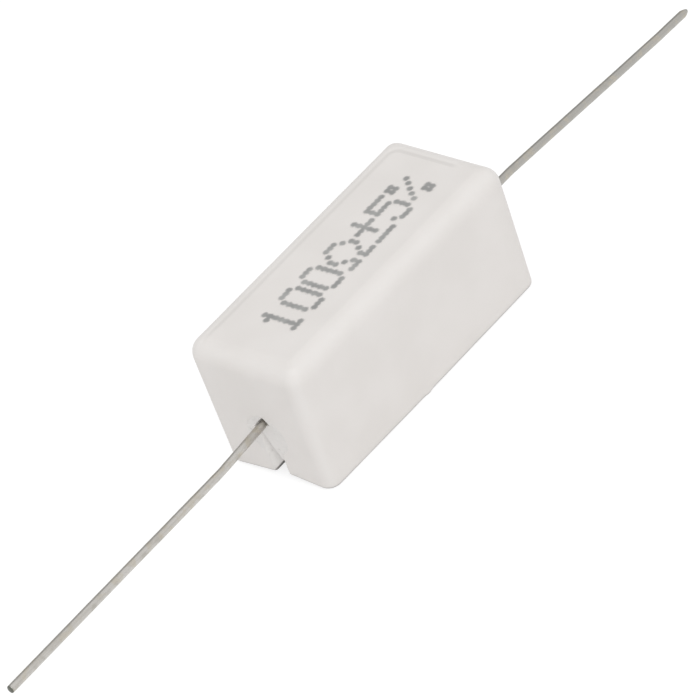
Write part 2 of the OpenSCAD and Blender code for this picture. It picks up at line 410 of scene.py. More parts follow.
def smooth_step(value, low, high):
    """0 below low, 1 above high and an even ease between them, for numbers and arrays."""
    t = np.clip((value - low) / (high - low), 0.0, 1.0)
    return t * t * (3 - 2 * t)


def by_side(values, points):
    """For each point, the value of its own side of the lead: -1 is the near side, 1 the far side."""
    return np.where(points[:, 1] < AXIS_Y, values[-1], values[1])


def lift_rim(points):
    """Raises the end walls' rim, most beside the slot, and fades out up the wall."""
    mouth = by_side(SLOT_HALF, points) + by_side(SLOT_LIP, points)
    beside = (np.abs(points[:, 1] - AXIS_Y) - mouth) / (RIM_HALF_WIDTH - RIM_ROUND - mouth)
    at_slot, at_corner = by_side(RISE_AT_SLOT, points), by_side(RISE_AT_CORNER, points)
    rise = at_slot + (at_corner - at_slot) * np.clip(beside, 0.0, 1.0)
    on_end = smooth_step(np.abs(points[:, 0]), WALL_INSIDE - 0.5, WALL_INSIDE + 0.5)
    fade = 1 - smooth_step(points[:, 2], 0.0, RISE_FADE)
    points[:, 2] += rise * on_end * fade
    return points


move_points(case, lift_rim(coordinates(case)))
print(f"rim raised by {RISE_AT_SLOT[-1]} and {RISE_AT_SLOT[1]} mm at the slots")

# %% [markdown]
# The punch that presses the top leaves its own outline there: the middle lies a hair lower than the brim,
# and a soft step runs between the two. On the real part it shows along the far side and the far end only,
# where the punch sat deeper. So the step is a function of the place, with a strength that fades towards its
# ends.
# %% The punch line on the top
PUNCH_X = RIM_HALF_LENGTH + END_LEAN - PUNCH_LINE
PUNCH_Y = RIM_HALF_WIDTH + SIDE_LEAN - PUNCH_LINE
PUNCH_FADE_X = (-9.4, -8.2)
PUNCH_FADE_Y = (-2.3, -1.5)
FAR_SIDE_Y = (1.2, 2.2)
FAR_END_X = (8.2, 9.2)
PUNCH_STEP = 0.09
GROOVE_DEPTH = 0.03
GROOVE_WIDTH = 0.07


def punch_strength(points):
    """1 where the punch line shows, 0 where the top runs smoothly into its round."""
    far_side = smooth_step(points[:, 1], *FAR_SIDE_Y) * smooth_step(points[:, 0], *PUNCH_FADE_X)
    far_end = smooth_step(points[:, 0], *FAR_END_X) * smooth_step(points[:, 1], *PUNCH_FADE_Y)
    return np.maximum(far_side, far_end)


def outside_punch(points):
    """Distance of each point outside the punch line, negative within it."""
    past_end = np.clip(points[:, 0] - PUNCH_X + PUNCH_CORNER, 0.0, None)
    past_side = np.clip(points[:, 1] - PUNCH_Y + PUNCH_CORNER, 0.0, None)
    return np.hypot(past_end, past_side) - PUNCH_CORNER


def press_top(points):
    """Sinks the top's middle and draws the punch line round it."""
    outside = outside_punch(points)
    from_side = RIM_HALF_WIDTH + SIDE_LEAN - np.abs(points[:, 1])
    from_end = RIM_HALF_LENGTH + END_LEAN - np.abs(points[:, 0])
    gentle = smooth_step(np.minimum(from_side, from_end), 1.0, 2.2)
    strength = punch_strength(points)
    sunk = strength * smooth_step(-outside, 0.0, PUNCH_STEP) + (1 - strength) * gentle
    groove = GROOVE_DEPTH * strength * np.exp(-((outside / GROOVE_WIDTH) ** 2))
    points[:, 2] -= (PUNCH_SINK * sunk + groove) * (points[:, 2] > CASE_TOP - 0.3)
    return points


move_points(case, press_top(coordinates(case)))
print(f"top pressed {PUNCH_SINK} mm deep")

# %% [markdown]
# Each end wall has a keyhole slot that the lead drops into: straight sides with rounded corners at the
# mouth and a round head above. The two sides differ, as in the photograph: the near one stands further out
# and swings into the head in a wider curve. The tool that cuts it flares out at the wall's face, and so
# leaves the soft outer edge of a pressed part. Its outline is worked out for any offset, so the same
# function also shapes the flare and, a hair smaller, the cement that fills the slot.
# %% The keyhole outline
HEADROOM = 0.17
HEAD_R = 1.45
TOOTH_ROUND = {-1: 0.8, 1: 0.35}
SLOT_TOP = AXIS_Z + LEAD_R + HEADROOM
HEAD_Z = SLOT_TOP - HEAD_R
BELOW = -1.0


def arc(centre_y, centre_z, radius, from_deg, to_deg, steps):
    """Points on an arc, both ends included."""
    angles = [math.radians(from_deg + (to_deg - from_deg) * i / steps) for i in range(steps + 1)]
    return [(centre_y + radius * math.cos(a), centre_z + radius * math.sin(a)) for a in angles]


def half_keyhole(side, offset):
    """Half of the slot's outline on one side of the lead, from the mouth up to the top."""
    lip, head, tooth = SLOT_LIP[side], HEAD_R + offset, TOOTH_ROUND[side] - offset
    mouth = SLOT_HALF[side] + lip
    tooth_y = SLOT_HALF[side] + offset + tooth
    tooth_z = HEAD_Z - math.sqrt((head + tooth) ** 2 - tooth_y**2)
    meeting = math.degrees(math.atan2(tooth_z - HEAD_Z, tooth_y))
    half = [(mouth, BELOW)]
    half += arc(mouth, RISE_AT_SLOT[side] + lip, lip - offset, 270, 180, 8)
    half += arc(tooth_y, tooth_z, tooth, 180, 180 + meeting, 8)
    half += arc(0.0, HEAD_Z, head, meeting, 90, 22)[1:]
    return [(side * y, z) for y, z in half]


def keyhole(offset=0.0):
    """Y-Z outline of the slot, grown by the offset, anticlockwise from the mouth's far corner."""
    return [(AXIS_Y + y, z) for y, z in half_keyhole(1, offset) + half_keyhole(-1, offset)[-2::-1]]


print(f"keyhole of {len(keyhole())} points, head from z {HEAD_Z:.2f} up to {SLOT_TOP:.2f} mm")

# %% [markdown]
# The trough is cut first, then one slot at each end. The flare follows a quarter circle but stops short of
# the wall's face, because a tool that only grazes a surface makes a ragged cut.
# %% Cut the trough and the slots
ROOF = 1.4
TROUGH_ROUND = 0.8
SLOT_EDGE = 0.25
FLARE_DEG = 78
FLARE_STEPS = 6
REACH_INSIDE = 0.7
REACH_OUTSIDE = 0.6


def end_face_x(z):
    """Distance of the end wall's face from the middle, at height z."""
    return RIM_HALF_LENGTH + END_LEAN * z / CASE_TOP


def slot_tool(side, gap=0.0):
    """Closed tool for the slot at one end, side being 1 or -1, smaller all round by the gap."""
    stations = [(WALL_INSIDE - REACH_INSIDE, 0.0), (None, 0.0)]
    stations += [(None, math.radians(FLARE_DEG * i / FLARE_STEPS)) for i in range(1, FLARE_STEPS + 1)]
    loops = []
    for x, a in stations:
        outline = keyhole(SLOT_EDGE * (1 - math.cos(a)) - gap)
        inward = SLOT_EDGE * (1 - math.sin(a))
        loops.append([(side * (end_face_x(z) - inward if x is None else x), y, z) for y, z in outline])
    loops.append([(side * (abs(x) + REACH_OUTSIDE), y, z) for x, y, z in loops[-1]])
    return weld(stacked_loops("slot_tool", loops), outward=True)


def plan_block(name, half_x, half_y, radius, low, high):
    """Closed block with a rounded-rectangle plan."""
    plan = rounded_loop(half_x, half_y, radius, 12, 6, 8)
    return weld(stacked_loops(name, [[(p.x, p.y, z) for p in plan] for z in (low, high)]), outward=True)


carve(case, plan_block("trough_tool", WALL_INSIDE, SIDE_INSIDE, TROUGH_ROUND, BELOW, CASE_TOP - ROOF))
for side in (1, -1):
    carve(case, slot_tool(side))
weld(case)
report(case)

# %% [markdown]
# Firing bends a pressed part a little. The long rims draw in towards their ends and bow out in the middle,
# and every face is uneven by a few hundredths of a millimetre. One slow noise moves all points, so pieces
# that touch the case can use it too. A bead of flash stays on the near rim. The case's points are kept
# within the imported case's box.
# %% Uneven from the kiln
WARP_MM = 0.018
WARP_PER_MM = 0.17
WARP_SEED = 5
WARP_START = Vector((3.1, 7.7, 1.3))
BOW_MM = 0.06
DRAW_IN_MM = 0.09
FLASH = ((-0.80, -4.5, 0.05), 0.26, 0.09)


def fired(points):
    """Points moved as firing moves them."""
    moved = points.copy()
    for i, p in enumerate(points):
        moved[i] += WARP_MM * np.array(noise.noise_vector(Vector(p) * WARP_PER_MM + WARP_START))
    along = np.clip(1 - (points[:, 0] / RIM_HALF_LENGTH) ** 2, 0.0, 1.0)
    low_down = np.clip(1 - points[:, 2] / CASE_TOP, 0.0, 1.0) ** 2
    on_side = smooth_step(np.abs(points[:, 1]), SIDE_INSIDE, SIDE_INSIDE + 0.5)
    moved[:, 1] += np.sign(points[:, 1]) * (BOW_MM * along - DRAW_IN_MM) * low_down * on_side
    return moved


def flash_bead(points):
    """Adds the small bead on the rim."""
    centre, width, height = FLASH
    distance = np.linalg.norm(points - np.array(centre), axis=1)
    points[:, 1] -= height * np.exp(-((distance / width) ** 2)) * (points[:, 1] < -SIDE_INSIDE - 0.6)
    return points


def inside_case_box(points):
    """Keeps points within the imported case's box."""
    low = np.array([-CASE_HIGH.x, -CASE_HIGH.y, 0.0])
    return np.clip(points, low, np.array(CASE_HIGH))


noise.seed_set(WARP_SEED)
move_points(case, inside_case_box(flash_bead(fired(coordinates(case)))))
report(case)

# %% [markdown]
# The material needs to know where the edges are, because handling polishes them and they get a painted
# highlight, and where the rim is, because its underside gets painted shade, darkest at the lips of the
# slots. A point's normal tells an edge from a face.
# %% Masks on the case
# Strength of the painted shade on the rim's underside and at the lips of the slots.
RIM_TONE = 0.55
RIM_TONE_HEIGHTS = (0.7, 1.2)
LIP_TONE = 0.85
LIP_WIDTH = (0.05, 0.24)
LIP_SHADE_HEIGHTS = (0.42, 0.56)
LIP_SLANT = 0.12


def point_normals(piece):
    """The mesh's point normals as an array."""
    flat = np.empty(len(piece.data.vertices) * 3)
    piece.data.vertex_normals.foreach_get("vector", flat)
    return flat.reshape(-1, 3)


def edge_values(piece, low=0.02, high=0.24):
    """1 on rounds and 0 on faces."""
    squareness = np.abs(point_normals(piece)).max(1)
    return smooth_step(1 - squareness, low, high)


def rim_shade_values(piece):
    """How much painted shade the rounded rim's underside gets, and the lips of the slots, where it is
    darkest.
    """
    points = coordinates(piece)
    facing_down = smooth_step(-point_normals(piece)[:, 2], 0.03, 0.4)
    rim = RIM_TONE * facing_down * (1 - smooth_step(points[:, 2], *RIM_TONE_HEIGHTS))
    past_wall = np.abs(points[:, 1] - AXIS_Y) - by_side(SLOT_HALF, points)
    in_slot = (1 - smooth_step(past_wall, *LIP_WIDTH)) * (np.abs(points[:, 0]) > WALL_INSIDE - 0.2)
    height = points[:, 2] - LIP_SLANT * (RIM_HALF_LENGTH - np.abs(points[:, 0]))
    return np.maximum(rim, LIP_TONE * in_slot * (1 - smooth_step(height, *LIP_SHADE_HEIGHTS)))


def shade(piece, angle_deg=38):
    """Smooth shading, with edges sharper than the angle kept crisp."""
    piece.data.shade_smooth()
    piece.data.set_sharp_from_angle(angle=math.radians(angle_deg))


set_mask(case, "edge", edge_values(case))
set_mask(case, "rim", rim_shade_values(case))
shade(case)
print("masks: edge, rim")

# %% [markdown]
# The inner parts share one axis. They are turned shapes, so one function spins a profile of distance along
# the axis and radius. A profile that starts and ends on the axis gives a closed skin.
# %% Turned shapes


def lathe(name, profile, steps=48):
    """Closed shape turned about the lead axis, from (x, radius) points."""
    loops = []
    for x, radius in profile:
        ring = []
        for i in range(steps):
            a = 2 * math.pi * i / steps
            ring.append((x, AXIS_Y + radius * math.cos(a), AXIS_Z + radius * math.sin(a)))
        loops.append(ring)
    return weld(stacked_loops(name, loops, close=False), outward=True)


def mirrored(profile):
    """The same profile for the other end."""
    return [(-x, radius) for x, radius in reversed(profile)]


CAP_LOW, CAP_HIGH = box_mm("right_end_cap")
CAP_R = CAP_HIGH.z - AXIS_Z
CAP_SHEET = 0.3
ELEMENT_END = CAP_HIGH.x
print(f"caps from x {CAP_LOW.x:.1f} to {ELEMENT_END:.1f} mm, radius {CAP_R:.2f}")

# %% [markdown]
# The cement is poured with the case upside down and smoothed off. It creeps up the walls, sinks in the
# middle, traps bubbles and shrinks back from the slot. Its two kinds of exposed face are height fields over
# fine grids. Each field is the front of a block that is trimmed to the trough or the slot, and the blocks
# are joined.
# %% Cement height fields
CEMENT_GAP = 0.006
FINE_GRAIN = (5.5, 0.028)
COARSE_GRAIN = (1.3, 0.0392)


def bubbles(seed, count, low, high, sizes):
    """Centres and radii of open bubbles over a rectangle."""
    draw = random.Random(seed)
    pits = []
    for _ in range(count):
        centre = draw.uniform(low[0], high[0]), draw.uniform(low[1], high[1])
        pits.append((*centre, draw.uniform(*sizes)))
    return pits


def bubble_depth(u, v, pits):
    """How deep the open bubbles are at each place."""
    depth = np.zeros_like(u)
    for cu, cv, radius in pits:
        squared = radius**2 - (u - cu) ** 2 - (v - cv) ** 2
        depth = np.maximum(depth, np.sqrt(np.clip(squared, 0.0, None)))
    return depth


def roughness_field(u, v, seed):
    """Sandy unevenness around zero, in millimetres."""
    out = np.zeros(u.size)
    for layer, (per_mm, height) in ((seed, FINE_GRAIN), (seed + 9.0, COARSE_GRAIN)):
        for i, (a, b) in enumerate(zip(u.ravel(), v.ravel())):
            out[i] += height * noise.noise(Vector((a * per_mm, b * per_mm, layer)))
    return out.reshape(u.shape)


def field_block(name, front, flat_back):
    """Closed block between a grid of front points and the same grid on a flat back."""
    rows, columns, _ = front.shape
    both = np.concatenate([front.reshape(-1, 3), flat_back.reshape(-1, 3)])
    count = rows * columns
    faces = []
    for r in range(rows - 1):
        for c in range(columns - 1):
            a = r * columns + c
            quad = (a, a + 1, a + columns + 1, a + columns)
            faces.append(quad)
            faces.append(tuple(count + i for i in reversed(quad)))
    border = list(range(columns))
    border += [r * columns + columns - 1 for r in range(1, rows)]
    border += [(rows - 1) * columns + c for c in range(columns - 2, -1, -1)]
    border += [r * columns for r in range(rows - 2, 0, -1)]
    for i, a in enumerate(border):
        b = border[(i + 1) % len(border)]
        faces.append((b, a, count + a, count + b))
    return weld(mesh_piece(name, both, faces), outward=True)


print("height fields are ready")

# %% [markdown]
# The underside is one field, trimmed to the trough's plan. The real one is out of sight in the photograph,
# so its look is that of any hand-poured cement: nearly level, sandy and pitted.
# %% Underside of the cement
FIELD_STEP = 0.13
OVER_EDGE = 0.2
SUNK_AT_WALL = 0.05
SUNK_IN_MIDDLE = 0.11
CREEP_WIDTH = 0.45


def trough_cement():
    """The cement in the trough, its exposed face down."""
    xs = np.arange(-WALL_INSIDE - OVER_EDGE, WALL_INSIDE + OVER_EDGE, FIELD_STEP)
    ys = np.arange(-SIDE_INSIDE - OVER_EDGE, SIDE_INSIDE + OVER_EDGE, FIELD_STEP)
    x, y = np.meshgrid(xs, ys)
    from_wall = np.clip(np.minimum(WALL_INSIDE - np.abs(x), SIDE_INSIDE - np.abs(y)), 0.0, None)
    sunk = SUNK_AT_WALL + SUNK_IN_MIDDLE * (1 - np.exp(-from_wall / CREEP_WIDTH))
    pits = bubbles(5, 46, (-9.0, -3.0), (9.0, 3.0), (0.07, 0.26))
    z = sunk + roughness_field(x, y, 2.0) + 0.8 * bubble_depth(x, y, pits)
    front = np.stack([x, y, np.clip(z, 0.004, None)], axis=-1)
    flat_back = np.stack([x, y, np.full_like(x, CASE_TOP - ROOF - CEMENT_GAP)], axis=-1)
    block = field_block("potting_cement", front, flat_back)
    half_x, half_y = WALL_INSIDE - CEMENT_GAP, SIDE_INSIDE - CEMENT_GAP
    trim = plan_block("trim", half_x, half_y, TROUGH_ROUND, BELOW, CASE_TOP)
    return carve(block, trim, "INTERSECT")


cement = trough_cement()
report(cement)

# %% [markdown]
# In each slot a straight ridge runs down from the wire. The near half lies flush with the wall. The far
# half shrank into a shallow pocket, deepest beside the ridge, which rises again to meet the slot's far
# side. The lower edge slants back into the case and gets painted shade, and the fold beside the ridge a
# lighter painted shade. The cement wets the wire with a small collar and leaves one open crater above it,
# with three straight sides. Those shapes are added up in one field.
# %% Cement in the slots
RIDGE_TOP = (0.35, 3.78)
RIDGE_LEAN = 0.419
POCKET_DEPTHS = ((0.0, 1.6, 2.4, 3.1, 3.5, 3.8, 4.1), (0.42, 0.42, 0.44, 0.42, 0.34, 0.20, 0.02))
POCKET_REACH = ((1.1, 2.3, 3.9), (0.57, 0.66, 0.50))
FLUSH_DEPTHS = ((0.0, 1.2, 1.7, 4.0), (0.34, 0.30, 0.04, 0.01))
FOOT_LINE = (0.36, 0.60, 1.03)
FOOT_DROP = 1.7
# Strength of the painted shade in the fold beside the ridge.
FOLD_SHADE = 0.12
FOLD_TOP = (2.7, 3.5)
FOLD_WIDTH = (0.5, 0.95)
CRATER_SIDES = ((-0.789, 0.615, 0.51), (0.70, 0.714, 0.31), (-0.351, -0.936, 0.105))
CRATER_DEPTH = 0.62
COLLAR = (0.05, 0.10)
PIT_ROOM = ((-1.4, 0.6), (1.0, 4.0), (0.02, 0.045))
PIT_AT_WIRE = (AXIS_Y - 0.45, AXIS_Z + 0.08, 0.06)
SLOT_STEP = 0.045
BLOCK_PAST_HEAD = (0.36, 0.35)
BLOCK_FOOT = 0.2
BLOCK_BACK = WALL_INSIDE - 0.5
BLOCK_FRONT_LIMIT = WALL_INSIDE - 0.35


def crater_shape(y, z):
    """1 in the open crater beside the wire, a triangle with three straight sides."""
    inside = np.ones_like(y)
    for along_y, along_z, reach in CRATER_SIDES:
        past = along_y * (y - AXIS_Y) + along_z * (z - AXIS_Z) - reach
        inside *= 1 - smooth_step(past, -0.04, 0.04)
    return inside


def foot_height(y):
    """Height of the cement's lower edge in the slot, which rises towards the near side."""
    low, far, slope = FOOT_LINE
    return low + slope * np.clip(far - (y - AXIS_Y), 0.0, None)


def ridge_y(z):
    """Where the straight ridge between the two halves runs at height z."""
    return AXIS_Y + RIDGE_TOP[0] - RIDGE_LEAN * (RIDGE_TOP[1] - z)


def across_pocket(y, z):
    """0 on the ridge and 1 where the pocket ends at the far wall."""
    return (y - ridge_y(z)) / (AXIS_Y + np.interp(z, *POCKET_REACH) - ridge_y(z))


def plug_recess(y, z, side):
    """How far the cement lies behind the end wall's face."""
    across = across_pocket(y, z)
    in_pocket = smooth_step(y - ridge_y(z), -0.08, 0.12) * (1 - np.clip(across, 0.0, 1.0) ** 2)
    front = np.interp(z, *FLUSH_DEPTHS) * (1 - smooth_step(across, 0.0, 0.5))
    front += np.interp(z, *POCKET_DEPTHS) * in_pocket
    front += FOOT_DROP * smooth_step(foot_height(y) - z, -0.06, 0.25)
    crater = crater_shape(y, z)
    collar_height, collar_width = COLLAR
    from_wire = np.clip(np.hypot(y - AXIS_Y, z - AXIS_Z) - LEAD_R, 0.0, None)
    collar = collar_height * np.exp(-from_wire / collar_width) * (1 - crater)
    pits = bubbles(11 + side, 3, *PIT_ROOM) + [PIT_AT_WIRE]
    rough = roughness_field(y, z, 4.0 + side) + 0.8 * bubble_depth(y, z, pits)
    return front + CRATER_DEPTH * crater + 0.6 * rough - collar


def slot_cement(side):
    """The cement in one slot, trimmed to the keyhole."""
    ys = np.arange(AXIS_Y - HEAD_R - BLOCK_PAST_HEAD[0], AXIS_Y + HEAD_R + BLOCK_PAST_HEAD[1], SLOT_STEP)
    zs = np.arange(BLOCK_FOOT, SLOT_TOP + BLOCK_PAST_HEAD[1], SLOT_STEP)
    y, z = np.meshgrid(ys, zs)
    x = np.maximum(end_face_x(z) - plug_recess(y, z, side), BLOCK_FRONT_LIMIT)
    front = np.stack([side * x, y, z], axis=-1)
    flat_back = np.stack([np.full_like(x, side * BLOCK_BACK), y, z], axis=-1)
    block = field_block("slot_block", front, flat_back)
    return carve(block, slot_tool(side, CEMENT_GAP), "INTERSECT")


def slot_shade_values(piece):
    """How much painted shade the cement's lower edge and the fold beside the ridge get in the slots."""
    points = coordinates(piece)
    y, z = points[:, 1], points[:, 2]
    in_slot = smooth_step(np.abs(points[:, 0]), WALL_INSIDE, WALL_INSIDE + 0.2)
    foot = 1 - smooth_step(z - foot_height(y), -0.02, 0.10)
    fold = smooth_step(y - ridge_y(z), 0.0, 0.2) * (1 - smooth_step(across_pocket(y, z), *FOLD_WIDTH))
    return in_slot * np.maximum(foot, FOLD_SHADE * fold * (1 - smooth_step(z, *FOLD_TOP)))


for side in (1, -1):
    carve(cement, slot_cement(side), "UNION")
report(cement)

# %% [markdown]
# The cement sets around the element, so its hollow has the element's own outline with a hair of room: rod
# and caps, the weld beads and the two wires.
# %% The hollow for the element
BEAD = ((0.24, 0.0), (0.20, 0.07), (0.10, 0.13), (0.0, 0.27))
PAST_BEAD = 0.3


def hollow_profile():
    """Half of the hollow's outline, from the middle out to past the end wall."""
    wide = CAP_R + CEMENT_GAP
    end = ELEMENT_END + CEMENT_GAP
    thin = LEAD_R + CEMENT_GAP
    bead = [(end + x, thin + 0.01 + r) for x, r in reversed(BEAD)]
    outside = 2 * RIM_HALF_LENGTH
    return [(0.0, wide), (end, wide), *bead, (end + PAST_BEAD, thin), (outside, thin), (outside, 0.0)]


half = hollow_profile()
carve(cement, lathe("hollow", mirrored(half) + half[1:], steps=64))
weld(cement)
move_points(cement, inside_case_box(fired(coordinates(cement))))
set_mask(cement, "edge", edge_values(cement))
# The cement's rim mask holds its painted shade.
set_mask(cement, "rim", slot_shade_values(cement))
shade(cement, 50)
report(cement)

# %% [markdown]
# The rod is a plain ceramic bar with broken edges. Each cap is a cup drawn from plated sheet: a rounded
# bottom corner, a rim that flares by a hair so it slides over the rod, and the bead where the wire is
# welded.
# %% Rod and caps
ROD_HIGH = box_mm("core_rod")[1]
ROD_R = ROD_HIGH.z - AXIS_Z
ROD_CHAMFER = 0.15
CAP_CORNER = 0.4
CAP_RIM = ((0.25, -0.03), (0.06, 0.0), (0.0, -0.05))
BEAD_LIFT = 0.005


def rod_profile():
    """Half of the rod's outline."""
    end = ROD_HIGH.x
    chamfer = [(end - ROD_CHAMFER, ROD_R), (end, ROD_R - ROD_CHAMFER)]
    return [(0.0, ROD_R), (end * 0.5, ROD_R), *chamfer, (end, 0.0)]


def cap_profile():
    """Outline of one cup, from the axis outside round its rim to the axis inside."""
    mouth, floor_x, bore = CAP_LOW.x, ELEMENT_END - CAP_SHEET, CAP_R - CAP_SHEET
    outline = [(ELEMENT_END, 0.0), (ELEMENT_END, LEAD_R + BEAD_LIFT)]
    outline += [(ELEMENT_END + x, LEAD_R + BEAD_LIFT + r) for x, r in BEAD]
    for i in range(7):
        a = math.radians(90 * i / 6)
        drawn_in = CAP_CORNER * (1 - math.cos(a))
        outline.append((ELEMENT_END - drawn_in, CAP_R - CAP_CORNER * (1 - math.sin(a))))
    outline += [(mouth + x, CAP_R + r) for x, r in CAP_RIM]
    outline += [(mouth, bore + 0.05), (mouth + 0.08, bore)]
    outline += [(floor_x - 0.1, bore), (floor_x, bore - 0.1), (floor_x, 0.0)]
    return outline


rod_half = rod_profile()
rod = lathe("wound_rod", mirrored(rod_half) + rod_half[1:])
right_cap = lathe("right_drawn_cap", cap_profile())
left_cap = lathe("left_drawn_cap", mirrored(cap_profile()))
for turned in (rod, right_cap, left_cap):
    set_mask(turned, "edge", edge_values(turned, 0.1, 0.3))
    shade(turned)
    report(turned)

# %% [markdown]
# The winding is one wire on a helix, a shape that follows a rule, so Geometry Nodes make it: a spiral curve
# with a round profile. The tree has named inputs, and the same tree could wind any resistor.
# %% Winding by Geometry Nodes


def plain_geometry(tree, take, made, geometry):
    """Ends a geometry tree, with no instances left and its finish on."""
    real = add(tree, "GeometryNodeRealizeInstances", {"Geometry": geometry}).outputs[0]
    inputs = {"Geometry": real, "Material": take["Material"]}
    return put_out(tree, made, Geometry=add(tree, "GeometryNodeSetMaterial", inputs).outputs[0])


def tube(tree, take, curve, sides):
    """A smooth round wire along a curve."""
    inputs = {"Resolution": sides, "Radius": take["Wire Radius"]}
    ring = add(tree, "GeometryNodeCurvePrimitiveCircle", inputs)
    inputs = {"Curve": curve, "Profile Curve": ring.outputs[0], "Fill Caps": True}
    swept = add(tree, "GeometryNodeCurveToMesh", inputs).outputs[0]
    return add(tree, "GeometryNodeSetShadeSmooth", {"Geometry": swept}).outputs[0]


def geometry_tree(name, inputs):
    """An empty geometry tree with its own inputs between its geometry and its finish."""
    inputs = {"Geometry": ("Geometry", None), **inputs, "Material": ("Material", None)}
    return new_tree(name, "GeometryNodeTree", inputs, {"Geometry": ("Geometry", None)})


def wound_wire_tree():
    """Tree that makes a wire coil along X."""
    tree, take, made = geometry_tree("wound_wire", {
        "Coil Radius": ("Float", 0.0024), "Length": ("Float", 0.008), "Turns": ("Float", 18.0),
        "Wire Radius": ("Float", 0.0001), "Centre": ("Vector", (0.0, 0.0, 0.0))})
    spiral = add(tree, "GeometryNodeCurveSpiral", {
        "Resolution": 48, "Rotations": take["Turns"], "Start Radius": take["Coil Radius"],
        "End Radius": take["Coil Radius"], "Height": take["Length"]})
    centred = add(tree, "ShaderNodeCombineXYZ", {"Z": times(tree, take["Length"], -0.5)}).outputs[0]
    middle = add(tree, "GeometryNodeTransform", {
        "Geometry": tube(tree, take, spiral.outputs[0], 10), "Translation": centred})
    turned = add(tree, "GeometryNodeTransform", {
        "Geometry": middle.outputs[0], "Translation": take["Centre"],
        "Rotation": (0.0, math.radians(90), 0.0)})
    return plain_geometry(tree, take, made, turned.outputs[0])


def grow(piece, tree, values):
    """Runs a tree on a piece with the named values, and returns the plain mesh."""
    modifier = piece.modifiers.new(tree.name, "NODES")
    modifier.node_group = tree
    for item in tree.interface.items_tree:
        if item.in_out == "INPUT" and item.name in values:
            modifier[item.identifier] = values[item.name]
    return settle(piece)


WOUND_WIRE = wound_wire_tree()
print("winding tree:", len(WOUND_WIRE.nodes), "nodes")

# %% [markdown]
# Now the finishes. Several of them need the same effects, so each effect is a shader group with named
# inputs that puts out masks and heights only: a fine grain with slow clouds, scattered specks, polished
# edges that also carry a painted highlight, and the long streaks of drawn metal. Sizes are given as
# repeats for each metre.
# %% Shared effects


def shader_group(name, inputs, outputs):
    """A shader group whose first input is the place on the piece."""
    inputs = {"Vector": ("Vector", (0.0, 0.0, 0.0)), **{k: ("Float", v) for k, v in inputs.items()}}
    return new_tree(name, "ShaderNodeTree", inputs, {k: (kind, None) for k, kind in outputs.items()})


def make_grain():
    """Fine grain and slow clouds."""
    inputs = {"Grain Scale": 6000.0, "Cloud Scale": 250.0}
    tree, given, made = shader_group("fine_grain", inputs, {"Grain": "Float", "Cloud": "Float"})
    grain = noise_at(tree, given["Vector"], given["Grain Scale"], 3.0, roughness=0.6)
    return put_out(tree, made, Grain=grain, Cloud=noise_at(tree, given["Vector"], given["Cloud Scale"], 2.0))


def make_specks():
    """Scattered round specks, as a mask."""
    inputs = {"Scale": 900.0, "Size": 0.2, "Amount": 0.1}
    tree, given, made = shader_group("specks", inputs, {"Mask": "Float"})
    cells = add(tree, "ShaderNodeTexVoronoi", {"Vector": given["Vector"], "Scale": given["Scale"]})
    chance = add(tree, "ShaderNodeSeparateColor", {"Color": cells.outputs["Color"]})
    chosen = maths(tree, "LESS_THAN", chance.outputs[0], given["Amount"])
    size = times(tree, given["Size"], maths(tree, "ADD", 0.4, chance.outputs[1]))
    spot = ramp(tree, cells.outputs["Distance"], size, times(tree, size, 0.5))
    return put_out(tree, made, Mask=times(tree, spot, chosen))


def make_edge_polish_and_highlight():
    """The piece's edge mask, broken up by noise, for polish and a painted highlight."""
    inputs = {"Break Up Scale": 900.0, "Amount": 1.0}
    tree, given, made = shader_group("edge_polish_and_highlight", inputs, {"Mask": "Float"})
    rough = noise_at(tree, given["Vector"], given["Break Up Scale"], 3.0)
    broken = ramp(tree, rough, 0.3, 0.6, 0.55, 1.0)
    return put_out(tree, made, Mask=times(tree, stored(tree, "edge"), broken, given["Amount"]))


def make_drawn_streaks():
    """Long thin streaks along X, as drawing through a die leaves them, and short blotches."""
    inputs = {"Across": 9000.0, "Along": 260.0}
    tree, given, made = shader_group("drawn_streaks", inputs, {"Streak": "Float", "Blotch": "Float"})
    scales = {"X": given["Along"], "Y": given["Across"], "Z": given["Across"]}
    scale = add(tree, "ShaderNodeCombineXYZ", scales).outputs[0]
    stretched = vector_maths(tree, "MULTIPLY", given["Vector"], scale)
    blotch = noise_at(tree, given["Vector"], 1500.0, 3.0)
    return put_out(tree, made, Streak=noise_at(tree, stretched, 1.0, 2.0), Blotch=blotch)


EFFECTS = {}
for make in (make_grain, make_specks, make_edge_polish_and_highlight, make_drawn_streaks):
    group = make()
    EFFECTS[group.name] = group
print("effects:", sorted(EFFECTS))

# %% [markdown]
# Every finish starts the same way, with a Principled shader and the piece's own Object coordinates. Numbers
# that are the same all over are set on the shader itself, where an export finds them.
# %% Start of a finish


def effect(tree, name, vector, **values):
    """Places a shared effect in a material."""
    node = add(tree, "ShaderNodeGroup", node_tree=EFFECTS[name])
    tree.links.new(vector, node.inputs["Vector"])
    for key, value in values.items():
        node.inputs[key.replace("_", " ").title()].default_value = value
    return node.outputs


def start_finish(name, metallic=0.0, specular=0.5):
    """A new material, its tree, its shader and the place on the piece."""
    material = bpy.data.materials.new(name)
    material.use_nodes = True
    tree = material.node_tree
    shader = tree.nodes["Principled BSDF"]
    shader.inputs["Metallic"].default_value = metallic
    shader.inputs["Specular IOR Level"].default_value = specular
    place = add(tree, "ShaderNodeTexCoord").outputs["Object"]
    return material, tree, shader, place


def tint(tree, colour, mask, towards):
    """Colour pulled towards another by the mask."""
    return blend_colour(tree, mask, colour, (*towards, 1.0))


def cover(tree, shader, colour, roughness, height, strength, depth_mm):
    """Links the shader's colour, its roughness and a bump from a height."""
    tree.links.new(colour, shader.inputs["Base Color"])
    tree.links.new(roughness, shader.inputs["Roughness"])
    bump = add(tree, "ShaderNodeBump", {"Height": height, "Strength": strength, "Distance": depth_mm * MM})
    tree.links.new(bump.outputs[0], shader.inputs["Normal"])


print("finishes can start")
